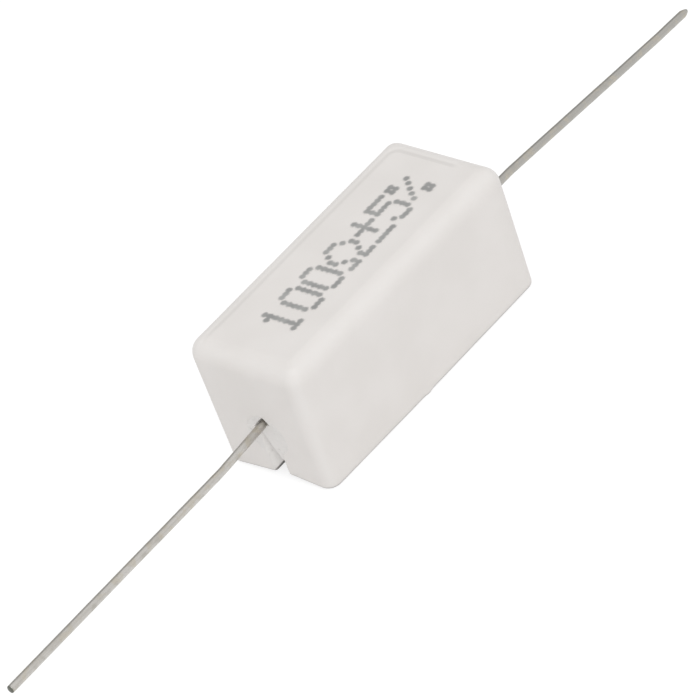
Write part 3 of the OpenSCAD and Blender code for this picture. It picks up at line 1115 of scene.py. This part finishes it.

# %% [markdown]
# Fired ceramic is a warm near-white, even from a step away. Close up it has a fine grain, slow clouds and a
# few dark specks. Its rounded edges are slightly paler, a painted highlight, and a little less rough where
# handling polished them. Along the punch line there is grey dust with painted shade, and the brim beyond
# it gets a painted sheen. That line is worked out from the place alone, like the step in the mesh, so it
# stays even where the mesh is coarse. The rim's underside gets painted shade.
# %% Punch line as an effect
# Reach of the punch line's dust and painted shade.
PUNCH_LINE_REACH_MM = 0.23
LINE_FADE_X = (-11.0, -8.6)
# Where the brim's painted sheen starts and ends, outside the punch line.
BRIM_FROM = (0.05, 0.2)
BRIM_TO = (0.6, 0.35)


def make_punch_outline():
    """Masks of the punch line, with its dust and painted shade, and of the brim outside it, which gets a
    painted sheen.
    """
    tree, given, made = shader_group("punch_outline", {}, {"Line": "Float", "Brim": "Float"})
    place = vector_maths(tree, "SCALE", given["Vector"], Scale=1 / MM)
    x, y, z = add(tree, "ShaderNodeSeparateXYZ", {0: place}).outputs
    past_end = maths(tree, "MAXIMUM", maths(tree, "SUBTRACT", x, PUNCH_X - PUNCH_CORNER), 0.0)
    past_side = maths(tree, "MAXIMUM", maths(tree, "SUBTRACT", y, PUNCH_Y - PUNCH_CORNER), 0.0)
    past = add(tree, "ShaderNodeCombineXYZ", {"X": past_end, "Y": past_side}).outputs[0]
    length = vector_maths(tree, "LENGTH", past, output="Value")
    outside = maths(tree, "SUBTRACT", length, PUNCH_CORNER)
    line = ramp(tree, maths(tree, "ABSOLUTE", outside), PUNCH_LINE_REACH_MM, 0.0)
    brim = times(tree, ramp(tree, outside, *BRIM_FROM), ramp(tree, outside, *BRIM_TO))
    side = times(tree, ramp(tree, y, *FAR_SIDE_Y), ramp(tree, x, *LINE_FADE_X))
    end = times(tree, ramp(tree, x, *FAR_END_X), ramp(tree, y, *PUNCH_FADE_Y))
    on_top = maths(tree, "GREATER_THAN", z, CASE_TOP - 0.6)
    shows = times(tree, maths(tree, "MAXIMUM", side, end), on_top)
    return put_out(tree, made, Line=times(tree, line, shows), Brim=times(tree, brim, shows))


EFFECTS["punch_outline"] = make_punch_outline()
print("punch line at x", round(PUNCH_X, 2), "and y", round(PUNCH_Y, 2))

# %% [markdown]
# The print lies on the same ceramic, so the ceramic's colour is a group that both materials share. One
# small dark mark by the near corner is where the part touched its neighbour in the kiln.
# %% Ceramic colour
CERAMIC = (0.838, 0.806, 0.781)
CERAMIC_DARK = (0.812, 0.780, 0.753)
# Colour of the painted highlight on the rounded edges.
CERAMIC_EDGE_HIGHLIGHT = (0.848, 0.820, 0.796)
# Colour of the painted sheen on the brim beyond the punch line.
BRIM = (0.90, 0.875, 0.85)
# Colour of the grey dust and painted shade in the punch line's crease.
DUST_AND_SHADE = (0.56, 0.545, 0.52)
SPECK = (0.46, 0.44, 0.41)
# Colour of the painted shade on the rim's underside, the slots' lips and the cement's lower edge.
RIM_PAINTED_SHADE = (0.15, 0.145, 0.135)
SMUDGE = (-11.0, -3.77, 9.9)
SMUDGE_MM = (0.16, 0.03)


def make_ceramic_colour():
    """The fired ceramic's colour, roughness and height."""
    outputs = {"Color": "Color", "Roughness": "Float", "Height": "Float"}
    tree, given, made = shader_group("fired_ceramic", {}, outputs)
    vector = given["Vector"]
    grain = effect(tree, "fine_grain", vector, grain_scale=5200.0, cloud_scale=210.0)
    specks = effect(tree, "specks", vector, scale=520.0, size=0.11, amount=0.02)["Mask"]
    edges = effect(tree, "edge_polish_and_highlight", vector, break_up_scale=700.0, amount=0.8)["Mask"]
    punch = effect(tree, "punch_outline", vector)
    away = vector_maths(tree, "DISTANCE", vector, [v * MM for v in SMUDGE], output="Value")
    smudge = ramp(tree, away, *(v * MM for v in SMUDGE_MM))
    cloudy = ramp(tree, grain["Cloud"], 0.35, 0.68)
    colour = blend_colour(tree, cloudy, (*CERAMIC_DARK, 1.0), (*CERAMIC, 1.0))
    # Paler rounded edges: a painted highlight.
    colour = tint(tree, colour, edges, CERAMIC_EDGE_HIGHLIGHT)
    colour = tint(tree, colour, ramp(tree, grain["Grain"], 0.56, 0.75, 0.0, 0.22), CERAMIC_DARK)
    colour = tint(tree, colour, times(tree, maths(tree, "MAXIMUM", specks, smudge), 0.5), SPECK)
    # Painted sheen on the brim beyond the punch line.
    colour = tint(tree, colour, times(tree, punch["Brim"], 0.3), BRIM)
    # Grey dust and painted shade in the punch line's crease.
    colour = tint(tree, colour, times(tree, punch["Line"], 0.34), DUST_AND_SHADE)
    # Painted shade on the rim's underside and at the lips of the slots.
    rim = times(tree, stored(tree, "rim"), ramp(tree, grain["Cloud"], 0.3, 0.6, 0.75, 1.0))
    colour = tint(tree, colour, rim, RIM_PAINTED_SHADE)
    rough = ramp(tree, grain["Grain"], 0.3, 0.7, 0.48, 0.62, smooth=False)
    rough = maths(tree, "SUBTRACT", rough, times(tree, edges, 0.08))
    height = maths(tree, "ADD", grain["Grain"], times(tree, grain["Cloud"], 1.5))
    height = maths(tree, "SUBTRACT", height, specks)
    return put_out(tree, made, Color=colour, Roughness=rough, Height=height)


EFFECTS["fired_ceramic"] = make_ceramic_colour()


def white_ceramic():
    """Finish of the case."""
    material, tree, shader, place = start_finish("white_ceramic", specular=0.45)
    look = effect(tree, "fired_ceramic", place)
    cover(tree, shader, look["Color"], look["Roughness"], look["Height"], 0.35, 0.012)
    return material


print("ceramic colour is shared by case and print")

# %% [markdown]
# The rest of the finishes. Cement is a duller, greyer white with sand in it. The wires are tinned copper or
# steel: satin, streaked along their length, with dull oxide blotches and a darker cut end. The caps are
# plated sheet, the winding is drawn alloy that has seen heat, and the rod is a coarser, yellower ceramic.
# %% Cement, metals and rod
CEMENT = (0.838, 0.815, 0.795)
CEMENT_DARK = (0.820, 0.798, 0.777)
SAND = (0.50, 0.48, 0.44)
TIN = (0.57, 0.552, 0.525)
TIN_OXIDE = (0.45, 0.43, 0.39)
TIN_WARM = (0.51, 0.465, 0.38)
TARNISH = (0.40, 0.39, 0.365)
CUT_METAL = (0.13, 0.135, 0.115)
ALLOY = (0.46, 0.43, 0.39)
ALLOY_HEATED = (0.30, 0.26, 0.23)
PLATED = (0.60, 0.60, 0.58)
PLATED_DULL = (0.46, 0.45, 0.43)
ROD_PALE = (0.80, 0.765, 0.69)
ROD_DARK = (0.70, 0.655, 0.57)
ROD_SPECK = (0.42, 0.36, 0.28)


def rough_cement():
    """Finish of the cement."""
    material, tree, shader, place = start_finish("rough_cement", specular=0.3)
    grain = effect(tree, "fine_grain", place, grain_scale=4200.0, cloud_scale=520.0)
    sand = effect(tree, "specks", place, scale=2600.0, size=0.32, amount=0.16)["Mask"]
    pale = effect(tree, "edge_polish_and_highlight", place, break_up_scale=1500.0, amount=0.5)["Mask"]
    colour = blend_colour(tree, ramp(tree, grain["Cloud"], 0.35, 0.65), (*CEMENT_DARK, 1.0), (*CEMENT, 1.0))
    # Paler edges on the cement: a painted highlight.
    colour = tint(tree, colour, pale, CEMENT)
    colour = tint(tree, colour, times(tree, sand, 0.35), SAND)
    # Painted shade on the cement's lower edge in the slots and in the fold beside the ridge.
    colour = tint(tree, colour, stored(tree, "rim"), RIM_PAINTED_SHADE)
    rough = ramp(tree, grain["Grain"], 0.3, 0.7, 0.82, 0.95)
    height = maths(tree, "ADD", grain["Grain"], times(tree, sand, 0.6))
    cover(tree, shader, colour, rough, height, 0.7, 0.03)
    return material


def drawn_metal(name, bright, dull, roughness, along=260.0, across=9000.0, blotches=0.6, is_lead=False):
    """Finish of wires and drawn sheet."""
    material, tree, shader, place = start_finish(name, metallic=1.0)
    streaks = effect(tree, "drawn_streaks", place, across=across, along=along)
    oxide = times(tree, ramp(tree, streaks["Blotch"], 0.48, 0.72), blotches)
    streaky = ramp(tree, streaks["Streak"], 0.3, 0.7, 0.0, 0.5)
    colour = blend_colour(tree, streaky, (*bright, 1.0), (*dull, 1.0))
    colour = tint(tree, colour, oxide, dull)
    if is_lead:
        colour = tint(tree, colour, stored(tree, "tarnish"), TARNISH)
        warm = effect(tree, "fine_grain", place, grain_scale=5000.0, cloud_scale=1700.0)["Cloud"]
        colour = tint(tree, colour, ramp(tree, warm, 0.48, 0.66, 0.0, 0.5), TIN_WARM)
        # Darkens the cut end and the patch where the wire leaves the cement.
        colour = tint(tree, colour, stored(tree, "cut"), CUT_METAL)
    rough = ramp(tree, streaks["Blotch"], 0.35, 0.7, roughness - 0.06, roughness + 0.12)
    height = maths(tree, "ADD", streaks["Streak"], times(tree, streaks["Blotch"], 0.7))
    cover(tree, shader, colour, rough, height, 0.45, 0.008)
    return material


def core_ceramic():
    """Finish of the rod."""
    material, tree, shader, place = start_finish("core_ceramic", specular=0.35)
    grain = effect(tree, "fine_grain", place, grain_scale=3600.0, cloud_scale=400.0)
    specks = effect(tree, "specks", place, scale=1400.0, size=0.2, amount=0.12)["Mask"]
    colour = blend_colour(tree, grain["Cloud"], (*ROD_DARK, 1.0), (*ROD_PALE, 1.0))
    colour = tint(tree, colour, times(tree, specks, 0.4), ROD_SPECK)
    rough = ramp(tree, grain["Grain"], 0.3, 0.7, 0.6, 0.78)
    cover(tree, shader, colour, rough, grain["Grain"], 0.5, 0.02)
    return material


FINISH = {
    "white_ceramic": white_ceramic(),
    "cement": rough_cement(),
    "core_ceramic": core_ceramic(),
    "resistance_alloy": drawn_metal("resistance_alloy", ALLOY, ALLOY_HEATED, 0.38, 3000.0, 12000.0),
    "cap_steel": drawn_metal("cap_steel", PLATED, PLATED_DULL, 0.32, 900.0, 5000.0, 0.4),
    "tinned_wire": drawn_metal("tinned_wire", TIN, TIN_OXIDE, 0.30, blotches=0.8, is_lead=True),
}
print("finishes:", sorted(FINISH))

# %% [markdown]
# The coil is wound now that its finish exists. It reaches from cap to cap, where its ends are welded.
# %% Wind the coil
WIRE_R = 0.1
COIL_R = box_mm("resistance_winding")[1].z - AXIS_Z - WIRE_R
COIL_PITCH = 0.44
coil_length = 2 * CAP_LOW.x - 0.02
coil = grow(mesh_piece("wound_resistance_wire", [(0, 0, 0)], []), WOUND_WIRE, {
    "Coil Radius": COIL_R * MM,
    "Length": (coil_length - 2 * WIRE_R) * MM,
    "Turns": float(int(coil_length / COIL_PITCH)),
    "Wire Radius": WIRE_R * MM,
    "Centre": (0.0, AXIS_Y * MM, AXIS_Z * MM),
    "Material": FINISH["resistance_alloy"],
})
report(coil)

# %% [markdown]
# A lead is straight wire off a reel that has been bent a little by hand. Geometry Nodes sweep a round
# profile along its path: the tree rounds the bends, divides the wire evenly, and adds the slight unevenness
# that straightening leaves. The path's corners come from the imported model's mounts and boxes.
# %% Leads by Geometry Nodes
BEND_R = 4.0
TIN_COAT = 0.008
TIP_MARGIN = 0.02
LEFT_ROOT_MM = 0.1
LEAD_RING_MM = 0.2
WAVE_MM = 0.03
WAVES_PER_M = 180.0


def bent_wire_tree():
    """Tree that sweeps a round wire along the piece's own path."""
    tree, take, made = geometry_tree("bent_wire", {
        "Wire Radius": ("Float", 0.000275), "Bend Radius": ("Float", 0.004), "Spacing": ("Float", 0.0004),
        "Waviness": ("Float", 0.00001), "Wave Scale": ("Float", 120.0)})
    inputs = {"Curve": take["Geometry"], "Radius": take["Bend Radius"]}
    rounded = add(tree, "GeometryNodeFilletCurve", inputs)
    inputs = {"Curve": rounded.outputs[0], "Length": take["Spacing"]}
    even = add(tree, "GeometryNodeResampleCurve", inputs, mode="LENGTH")
    place = add(tree, "GeometryNodeInputPosition").outputs[0]
    wave = noise_at(tree, place, take["Wave Scale"], 1.0, output="Color")
    around_zero = vector_maths(tree, "SUBTRACT", wave, (0.5, 0.5, 0.5))
    offset = vector_maths(tree, "SCALE", around_zero, Scale=take["Waviness"])
    wavy = add(tree, "GeometryNodeSetPosition", {"Geometry": even.outputs[0], "Offset": offset})
    return plain_geometry(tree, take, made, tube(tree, take, wavy.outputs[0], 20))


def run_ends(mount):
    """The two ends of a lead's long straight stretch, from its mount."""
    middle = Vector(mount["pos_m"]) / MM
    half_run = Vector(mount["axis"]) * mount["dims"]["length_mm"] / 2
    return middle - half_run, middle + half_run


def path_curve(name, corners):
    """A curve with straight stretches between corners in millimetres."""
    data = bpy.data.curves.new(name, "CURVE")
    data.dimensions = "3D"
    spline = data.splines.new("POLY")
    spline.points.add(len(corners) - 1)
    for point, corner in zip(spline.points, corners):
        point.co = (*(Vector(corner) * MM), 1.0)
    piece = bpy.data.objects.new(name, data)
    bpy.context.scene.collection.objects.link(piece)
    return piece


left_start, left_tip = run_ends(MOUNTS["left_lead_wire"])
left_tip.x += TIP_MARGIN
right_start, right_end = run_ends(MOUNTS["right_lead_wire"])
right_low = box_mm("right_lead")[0]
right_tip = Vector((LEAD_HIGH.x - TIP_MARGIN, AXIS_Y, right_low.z + LEAD_R))
left_root, right_root = ((side * ELEMENT_END, AXIS_Y, AXIS_Z) for side in (-1, 1))
left_bend = (-RIM_HALF_LENGTH - LEFT_ROOT_MM, AXIS_Y, AXIS_Z)
LEAD_PATHS = {
    "left_tinned_lead": [left_root, left_bend, left_start, left_tip],
    "right_tinned_lead": [right_root, right_start, right_end, right_tip],
}
BENT_WIRE = bent_wire_tree()
leads = {}
for name, corners in LEAD_PATHS.items():
    leads[name] = grow(path_curve(name, corners), BENT_WIRE, {
        "Wire Radius": (LEAD_R + TIN_COAT) * MM,
        "Bend Radius": BEND_R * MM,
        "Spacing": LEAD_RING_MM * MM,
        "Waviness": WAVE_MM * MM,
        "Wave Scale": WAVES_PER_M,
        "Material": FINISH["tinned_wire"],
    })
    report(leads[name])

# %% [markdown]
# Side cutters pinch a wire before it parts, so a cut tip tapers a little in the direction of the jaws, and
# its end face is rounded over and dark. Each cut has its side, the angle of the jaws, the length of wire
# that they pinch and how much they flatten it. The tip gets a few more rings, its own points are moved, and
# the end face is bevelled and marked for the material.
# %% Cut tips
TARNISHED = {"left_tinned_lead": 0.0, "right_tinned_lead": 0.8}
CUTS = {"left_tinned_lead": (-1, 0, 0.5, 0.10), "right_tinned_lead": (1, 46, 0.42, 0.5)}
TIP_RINGS = (0.15, 0.35, 0.6, 0.99)
TIP_BEVEL = 0.055
DARK_TIP = (0.10, 0.02)
# How dark the patch is on each side where the wire leaves the cement, which way it faces and where it fades.
EXIT_DARKENING = {-1: 0.9, 1: 0.4}
EXIT_FACING = (0.69, 0.72)
EXIT_FADE = (0.3, 0.5)


def cut_tip(piece, side, jaw_deg, pinch_len, flatten):
    """Pinches the tip at one side between jaws that close at an angle, and rounds and marks its end face."""
    bm = bmesh.new()
    bm.from_mesh(piece.data)
    tip_x = max(side * v.co.x for v in bm.verts)
    for share in TIP_RINGS:
        everything = list(bm.verts) + list(bm.edges) + list(bm.faces)
        place = (side * (tip_x - share * pinch_len * MM), 0.0, 0.0)
        bmesh.ops.bisect_plane(bm, geom=everything, plane_co=place, plane_no=(1.0, 0.0, 0.0))
    cap = max(bm.faces, key=lambda f: side * f.calc_center_median().x)
    centre = cap.calc_center_median()
    jaw = Vector((0.0, math.cos(math.radians(jaw_deg)), math.sin(math.radians(jaw_deg))))
    for v in bm.verts:
        along = 1 - (tip_x - side * v.co.x) / (pinch_len * MM)
        if along > 0:
            v.co -= jaw * (v.co - centre).dot(jaw) * flatten * along**1.5
    bmesh.ops.bevel(bm, geom=list(cap.edges), offset=TIP_BEVEL * MM, segments=3, profile=0.5, affect="EDGES")
    bm.to_mesh(piece.data)
    bm.free()
    points = coordinates(piece)
    cut = smooth_step(side * points[:, 0], *(tip_x / MM - inwards for inwards in DARK_TIP))
    # The cut mask holds the dark cut end and the darker patch where the wire leaves the cement.
    set_mask(piece, "cut", np.maximum(cut, EXIT_DARKENING[side] * exit_darkening(points, side)))


def exit_darkening(points, side):
    """1 on a darker patch on the wire's upper side where it leaves the cement."""
    out = side * points[:, 0] - end_face_x(AXIS_Z)
    across, upwards = EXIT_FACING
    facing = (across * (points[:, 1] - AXIS_Y) + upwards * (points[:, 2] - AXIS_Z)) / LEAD_R
    return smooth_step(out, -0.1, 0.1) * (1 - smooth_step(out, *EXIT_FADE)) * smooth_step(facing, 0.5, 0.85)


for name, lead in leads.items():
    cut_tip(lead, *CUTS[name])
    set_mask(lead, "tarnish", np.full(len(lead.data.vertices), TARNISHED[name]))
    shade(lead, 60)
    report(lead)

# %% [markdown]
# The print is one line of inkjet dots, five columns by seven rows for most characters. It says only a plain
# resistance and tolerance. Wet ink runs together between dots that are next neighbours in a row or column,
# and leaves diagonal neighbours apart. So the print is a set of points with an edge wherever ink bridges
# two.
# %% Dots of the print
DOT_STEP_X = 0.375
DOT_STEP_Y = 0.458
CHARACTER_GAP = 0.65
GLYPHS = {
    "one": ("00100", "01100", "00100", "00100", "00100", "00100", "01110"),
    "zero": ("01110", "10001", "10001", "10001", "10001", "10001", "01110"),
    "five": ("11111", "10000", "11110", "00001", "00001", "10001", "01110"),
    "ohm": ("0011100", "0100010", "1000001", "1000001", "0100010", "0010100", "1110111"),
    "plus_minus": ("00100", "00100", "11111", "00100", "00100", "00000", "11111"),
    "percent": ("11000", "11001", "00010", "00100", "01000", "10011", "00011"),
}
PRINTED = ("one", "zero", "zero", "ohm", "plus_minus", "five", "percent")
PRINT_LOW, PRINT_HIGH = box_mm("printed_marking")
PRINT_MIDDLE = (PRINT_LOW + PRINT_HIGH) / 2


def dot_places():
    """Places of the dots, centred on zero."""
    dots, x = [], 0.0
    for character in PRINTED:
        rows = GLYPHS[character]
        for r, row in enumerate(rows):
            for c, inked in enumerate(row):
                if inked == "1":
                    dots.append((x + c * DOT_STEP_X, -r * DOT_STEP_Y, 0.0))
        x += (len(rows[0]) - 1) * DOT_STEP_X + CHARACTER_GAP
    points = np.array(dots)
    return points - (points.min(0) + points.max(0)) / 2


def ink_bridges(dots):
    """Pairs of dots that are next neighbours in a row or column."""
    bridges = []
    for i, a in enumerate(dots):
        for j in range(i + 1, len(dots)):
            apart_x, apart_y = abs(dots[j][0] - a[0]), abs(dots[j][1] - a[1])
            in_row = apart_y < 0.01 and apart_x < DOT_STEP_X + 0.01
            in_column = apart_x < 0.01 and apart_y < DOT_STEP_Y + 0.01
            if in_row or in_column:
                bridges.append((i, j))
    return bridges


DOTS = dot_places()
BRIDGES = ink_bridges(DOTS)
print(len(DOTS), "dots,", len(BRIDGES), "bridges, over", np.ptp(DOTS, axis=0).round(2).tolist(), "mm")

# %% [markdown]
# The ink could be a hundred separate discs, but they would overlap. Instead, Geometry Nodes lay a fine grid
# over the line, measure how far each point of it is from the nearest dot or bridge, keep the grid where
# there is ink, and give it a film's thickness. The distance also becomes a mask, so the ink thins out at
# its edge. Where two patches of the film touch at one point only, that point goes, so the film's skin stays
# a clean one.
# %% Ink film by Geometry Nodes
RAGGED_M = 0.00014
LEAST_INK = 0.02
CLEANING_ROUNDS = 3


def scattered_dots(tree, take):
    """The dots and bridges, each dot a little out of place."""
    back = times(tree, take["Scatter"], -1.0)
    low = add(tree, "ShaderNodeCombineXYZ", {"X": back, "Y": back}).outputs[0]
    high = add(tree, "ShaderNodeCombineXYZ", {"X": take["Scatter"], "Y": take["Scatter"]}).outputs[0]
    inputs = {"Min": low, "Max": high, "Seed": take["Seed"]}
    jump = add(tree, "FunctionNodeRandomValue", inputs, data_type="FLOAT_VECTOR").outputs[0]
    return add(tree, "GeometryNodeSetPosition", {"Geometry": take["Geometry"], "Offset": jump}).outputs[0]


def ink_amount(tree, take, dots):
    """1 under a dot or bridge, 0 away from them, with a ragged border."""
    near, bridge = (
        add(tree, "GeometryNodeProximity", {"Geometry": dots}, target_element=kind).outputs["Distance"]
        for kind in ("POINTS", "EDGES"))
    ragged = noise_at(tree, add(tree, "GeometryNodeInputPosition").outputs[0], 5200.0, 2.0)
    ragged = times(tree, maths(tree, "SUBTRACT", ragged, 0.5), RAGGED_M)
    nearest = maths(tree, "MINIMUM", near, maths(tree, "ADD", bridge, take["Bridge Narrowing"]))
    outer = maths(tree, "ADD", take["Dot Radius"], take["Soft Edge"])
    inner = maths(tree, "SUBTRACT", take["Dot Radius"], take["Soft Edge"])
    return ramp(tree, maths(tree, "ADD", nearest, ragged), outer, inner)


def without(tree, geometry, unwanted, domain):
    """The geometry without what is unwanted."""
    inputs = {"Geometry": geometry, "Selection": unwanted}
    return add(tree, "GeometryNodeDeleteGeometry", inputs, domain=domain).outputs[0]


def ink_film_tree():
    """Tree that turns dot places into one inked film."""
    tree, take, made = geometry_tree("ink_film", {
        "Dot Radius": ("Float", 0.0002), "Soft Edge": ("Float", 0.00008),
        "Bridge Narrowing": ("Float", 0.00004), "Scatter": ("Float", 0.00002), "Seed": ("Int", 7),
        "Size X": ("Float", 0.016), "Size Y": ("Float", 0.0034),
        "Count X": ("Int", 360), "Count Y": ("Int", 76), "Thickness": ("Float", 0.00001)})
    grid = add(tree, "GeometryNodeMeshGrid", {
        "Size X": take["Size X"], "Size Y": take["Size Y"],
        "Vertices X": take["Count X"], "Vertices Y": take["Count Y"]})
    ink = ink_amount(tree, take, scattered_dots(tree, take))
    inputs = {"Geometry": grid.outputs[0], "Name": "ink", "Value": ink}
    film = add(tree, "GeometryNodeStoreNamedAttribute", inputs).outputs[0]
    film = without(tree, film, maths(tree, "LESS_THAN", ink, LEAST_INK), "FACE")
    for _ in range(CLEANING_ROUNDS):
        around = add(tree, "GeometryNodeInputMeshVertexNeighbors").outputs
        spare = maths(tree, "SUBTRACT", around["Vertex Count"], around["Face Count"])
        film = without(tree, film, maths(tree, "GREATER_THAN", spare, 1.5), "POINT")
    inputs = {"Mesh": film, "Offset Scale": take["Thickness"], "Individual": False}
    raised = add(tree, "GeometryNodeExtrudeMesh", inputs).outputs["Mesh"]
    under = add(tree, "GeometryNodeFlipFaces", {"Mesh": film}).outputs[0]
    joined = add(tree, "GeometryNodeJoinGeometry")
    tree.links.new(raised, joined.inputs[0])
    tree.links.new(under, joined.inputs[0])
    closed = add(tree, "GeometryNodeMergeByDistance", {"Geometry": joined.outputs[0], "Distance": 1e-6})
    return plain_geometry(tree, take, made, closed.outputs[0])


INK_FILM = ink_film_tree()
print("ink tree:", len(INK_FILM.nodes), "nodes")

# %% [markdown]
# The ink soaks in, so it is a matt grey with a slightly mottled tone, and where its mask falls to nothing
# the ceramic's own colour shows through. That keeps the film's border from ever showing as an edge.
# %% Ink finish and the finished print
INK = (0.32, 0.32, 0.315)
INK_PALE = (0.41, 0.41, 0.40)
INK_THIN = (0.5, 0.49, 0.48)
DOT_R = 0.23
SOFT_EDGE_MM = 0.095
BRIDGE_NARROWING_MM = 0.055
DOT_SCATTER_MM = 0.022
FILM_MM = 0.012
FILM_STEP = 0.045
FILM_MARGIN = 0.8
FILM_LIFT = 0.001


def grey_ink():
    """Finish of the print."""
    material, tree, shader, place = start_finish("grey_ink", specular=0.35)
    under = effect(tree, "fired_ceramic", place)
    grain = effect(tree, "fine_grain", place, grain_scale=3800.0, cloud_scale=900.0)
    ink = stored(tree, "ink")
    tone = blend_colour(tree, ramp(tree, grain["Cloud"], 0.35, 0.7), (*INK, 1.0), (*INK_PALE, 1.0))
    tone = tint(tree, tone, ramp(tree, grain["Grain"], 0.6, 0.8, 0.0, 0.35), INK_THIN)
    colour = blend_colour(tree, ink, under["Color"], tone)
    rough = maths(tree, "ADD", under["Roughness"], times(tree, ink, 0.15))
    cover(tree, shader, colour, rough, under["Height"], 0.3, 0.012)
    return material


FINISH["grey_ink"] = grey_ink()
film_size = np.ptp(DOTS, axis=0) + FILM_MARGIN
marking = grow(mesh_piece("inkjet_marking", DOTS, [], BRIDGES), INK_FILM, {
    "Dot Radius": DOT_R * MM,
    "Soft Edge": SOFT_EDGE_MM * MM,
    "Bridge Narrowing": BRIDGE_NARROWING_MM * MM,
    "Scatter": DOT_SCATTER_MM * MM,
    "Seed": 7,
    "Size X": float(film_size[0]) * MM,
    "Size Y": float(film_size[1]) * MM,
    "Count X": int(film_size[0] / FILM_STEP),
    "Count Y": int(film_size[1] / FILM_STEP),
    "Thickness": FILM_MM * MM,
    "Material": FINISH["grey_ink"],
})
print_base = np.array([PRINT_MIDDLE.x, PRINT_MIDDLE.y, CASE_TOP - PUNCH_SINK + FILM_LIFT])
move_points(marking, fired(coordinates(marking) + print_base))
shade(marking, 60)
report(marking)

# %% [markdown]
# Each finished piece gets its material, rides on the one rigid body and stands for its imported node,
# which is hidden.
# %% Hand the pieces to the frame
PIECES = (
    (case, "ceramic_case", "white_ceramic"),
    (cement, "cement_fill", "cement"),
    (rod, "core_rod", "core_ceramic"),
    (coil, "resistance_winding", "resistance_alloy"),
    (left_cap, "left_end_cap", "cap_steel"),
    (right_cap, "right_end_cap", "cap_steel"),
    (leads["left_tinned_lead"], "left_lead", "tinned_wire"),
    (leads["right_tinned_lead"], "right_lead", "tinned_wire"),
    (marking, "printed_marking", "grey_ink"),
)
for piece, node, slot in PIECES:
    piece.data.materials.clear()
    piece.data.materials.append(FINISH[slot])
    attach(piece, "root")
    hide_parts(node)
print(len(PIECES), "pieces ride on the body")

# %% [markdown]
# The photograph shows the part on pure white with no shadow to speak of. A real product table does that
# with a lit white sheet. Here the sheet adds a little light of its own, only for the camera and for
# reflections, so it reads as white while the part's shadow stays faintly visible on it.
# %% Floor
FLOOR_GLOW = 0.80
FLOOR_TONE = 0.30
FLOOR_BOUNCE = 0.85
FLOOR_HALF = 2.0
WHITE = (1.0, 1.0, 1.0, 1.0)


def seen_directly(tree):
    """1 for rays that the camera, a reflection or glass sends, else 0."""
    path = add(tree, "ShaderNodeLightPath").outputs
    seen = maths(tree, "ADD", path["Is Camera Ray"], path["Is Glossy Ray"])
    return maths(tree, "ADD", seen, path["Is Transmission Ray"], clamp=True)


def grey_diffuse(tree, tone):
    """A matt grey shader."""
    return add(tree, "ShaderNodeBsdfDiffuse", {"Color": (tone, tone, tone, 1.0)}).outputs[0]


def white_sheet():
    """Material of the floor."""
    material = bpy.data.materials.new("white_sheet")
    material.use_nodes = True
    tree = material.node_tree
    tree.nodes.clear()
    glow = add(tree, "ShaderNodeEmission", {"Color": WHITE, "Strength": FLOOR_GLOW}).outputs[0]
    shown = add(tree, "ShaderNodeAddShader", {0: grey_diffuse(tree, FLOOR_TONE), 1: glow}).outputs[0]
    bounce = grey_diffuse(tree, FLOOR_BOUNCE)
    chosen = add(tree, "ShaderNodeMixShader", {0: seen_directly(tree), 1: bounce, 2: shown})
    add(tree, "ShaderNodeOutputMaterial", {"Surface": chosen.outputs[0]})
    return material


floor_half = FLOOR_HALF / MM
corners = [(sx * floor_half, sy * floor_half, 0.0) for sx, sy in ((-1, -1), (1, -1), (1, 1), (-1, 1))]
floor = mesh_piece("floor", corners, [(0, 1, 2, 3)])
floor.data.materials.append(white_sheet())
print(f"floor {2 * FLOOR_HALF:.0f} m wide")

# %% [markdown]
# The light is a white tent with one soft lamp beside the camera. The tent alone would light all faces
# alike. The lamp is what makes the top brighter than the sides and puts the soft shine on the near edges.
# The tent's far side is a little darker in reflections, which gives the wires their dark edge.
# %% Light
TENT_LEVEL = 0.788
TENT_FAR_TONE = 0.50
TENT_FAR_WAY = (0.45, 0.80, 0.40)
TENT_FAR_EDGE = (0.72, 0.97)
LAMP_WATTS = 0.42
LAMP_SIZE = 0.22
LAMP_PLACE = (-0.135, -0.28, 0.36)
LAMP_AIM = (0.0, 0.0, 0.005)


def light_tent():
    """World shader: even light, white to the camera, darker far off in reflections."""
    world = bpy.data.worlds.new("tent")
    world.use_nodes = True
    tree = world.node_tree
    tree.nodes.clear()
    direction = add(tree, "ShaderNodeTexCoord").outputs["Generated"]
    far_way = vector_maths(tree, "DOT_PRODUCT", direction, TENT_FAR_WAY, output="Value")
    far = ramp(tree, far_way, *TENT_FAR_EDGE, 1.0, TENT_FAR_TONE)
    by_camera = add(tree, "ShaderNodeLightPath").outputs["Is Camera Ray"]
    seen = seen_directly(tree)
    level = ramp(tree, seen, 0.0, 1.0, TENT_LEVEL, 1.0, smooth=False)
    level = times(tree, maths(tree, "MAXIMUM", far, by_camera), level)
    sky = add(tree, "ShaderNodeBackground", {"Color": WHITE, "Strength": level}).outputs[0]
    even = add(tree, "ShaderNodeBackground", {"Color": WHITE, "Strength": TENT_LEVEL}).outputs[0]
    chosen = add(tree, "ShaderNodeMixShader", {0: seen, 1: even, 2: sky})
    add(tree, "ShaderNodeOutputWorld", {"Surface": chosen.outputs[0]})
    return world


bpy.context.scene.world = light_tent()
lamp_data = bpy.data.lights.new("soft_lamp", "AREA")
lamp_data.shape = "DISK"
lamp_data.size = LAMP_SIZE
lamp_data.energy = LAMP_WATTS
lamp = bpy.data.objects.new("soft_lamp", lamp_data)
bpy.context.scene.collection.objects.link(lamp)
lamp.location = LAMP_PLACE
lamp.rotation_euler = (Vector(LAMP_AIM) - lamp.location).to_track_quat("-Z", "Y").to_euler()
bpy.context.scene.view_settings.view_transform = "Standard"
print(f"tent at {TENT_LEVEL}, lamp of {LAMP_WATTS} W")
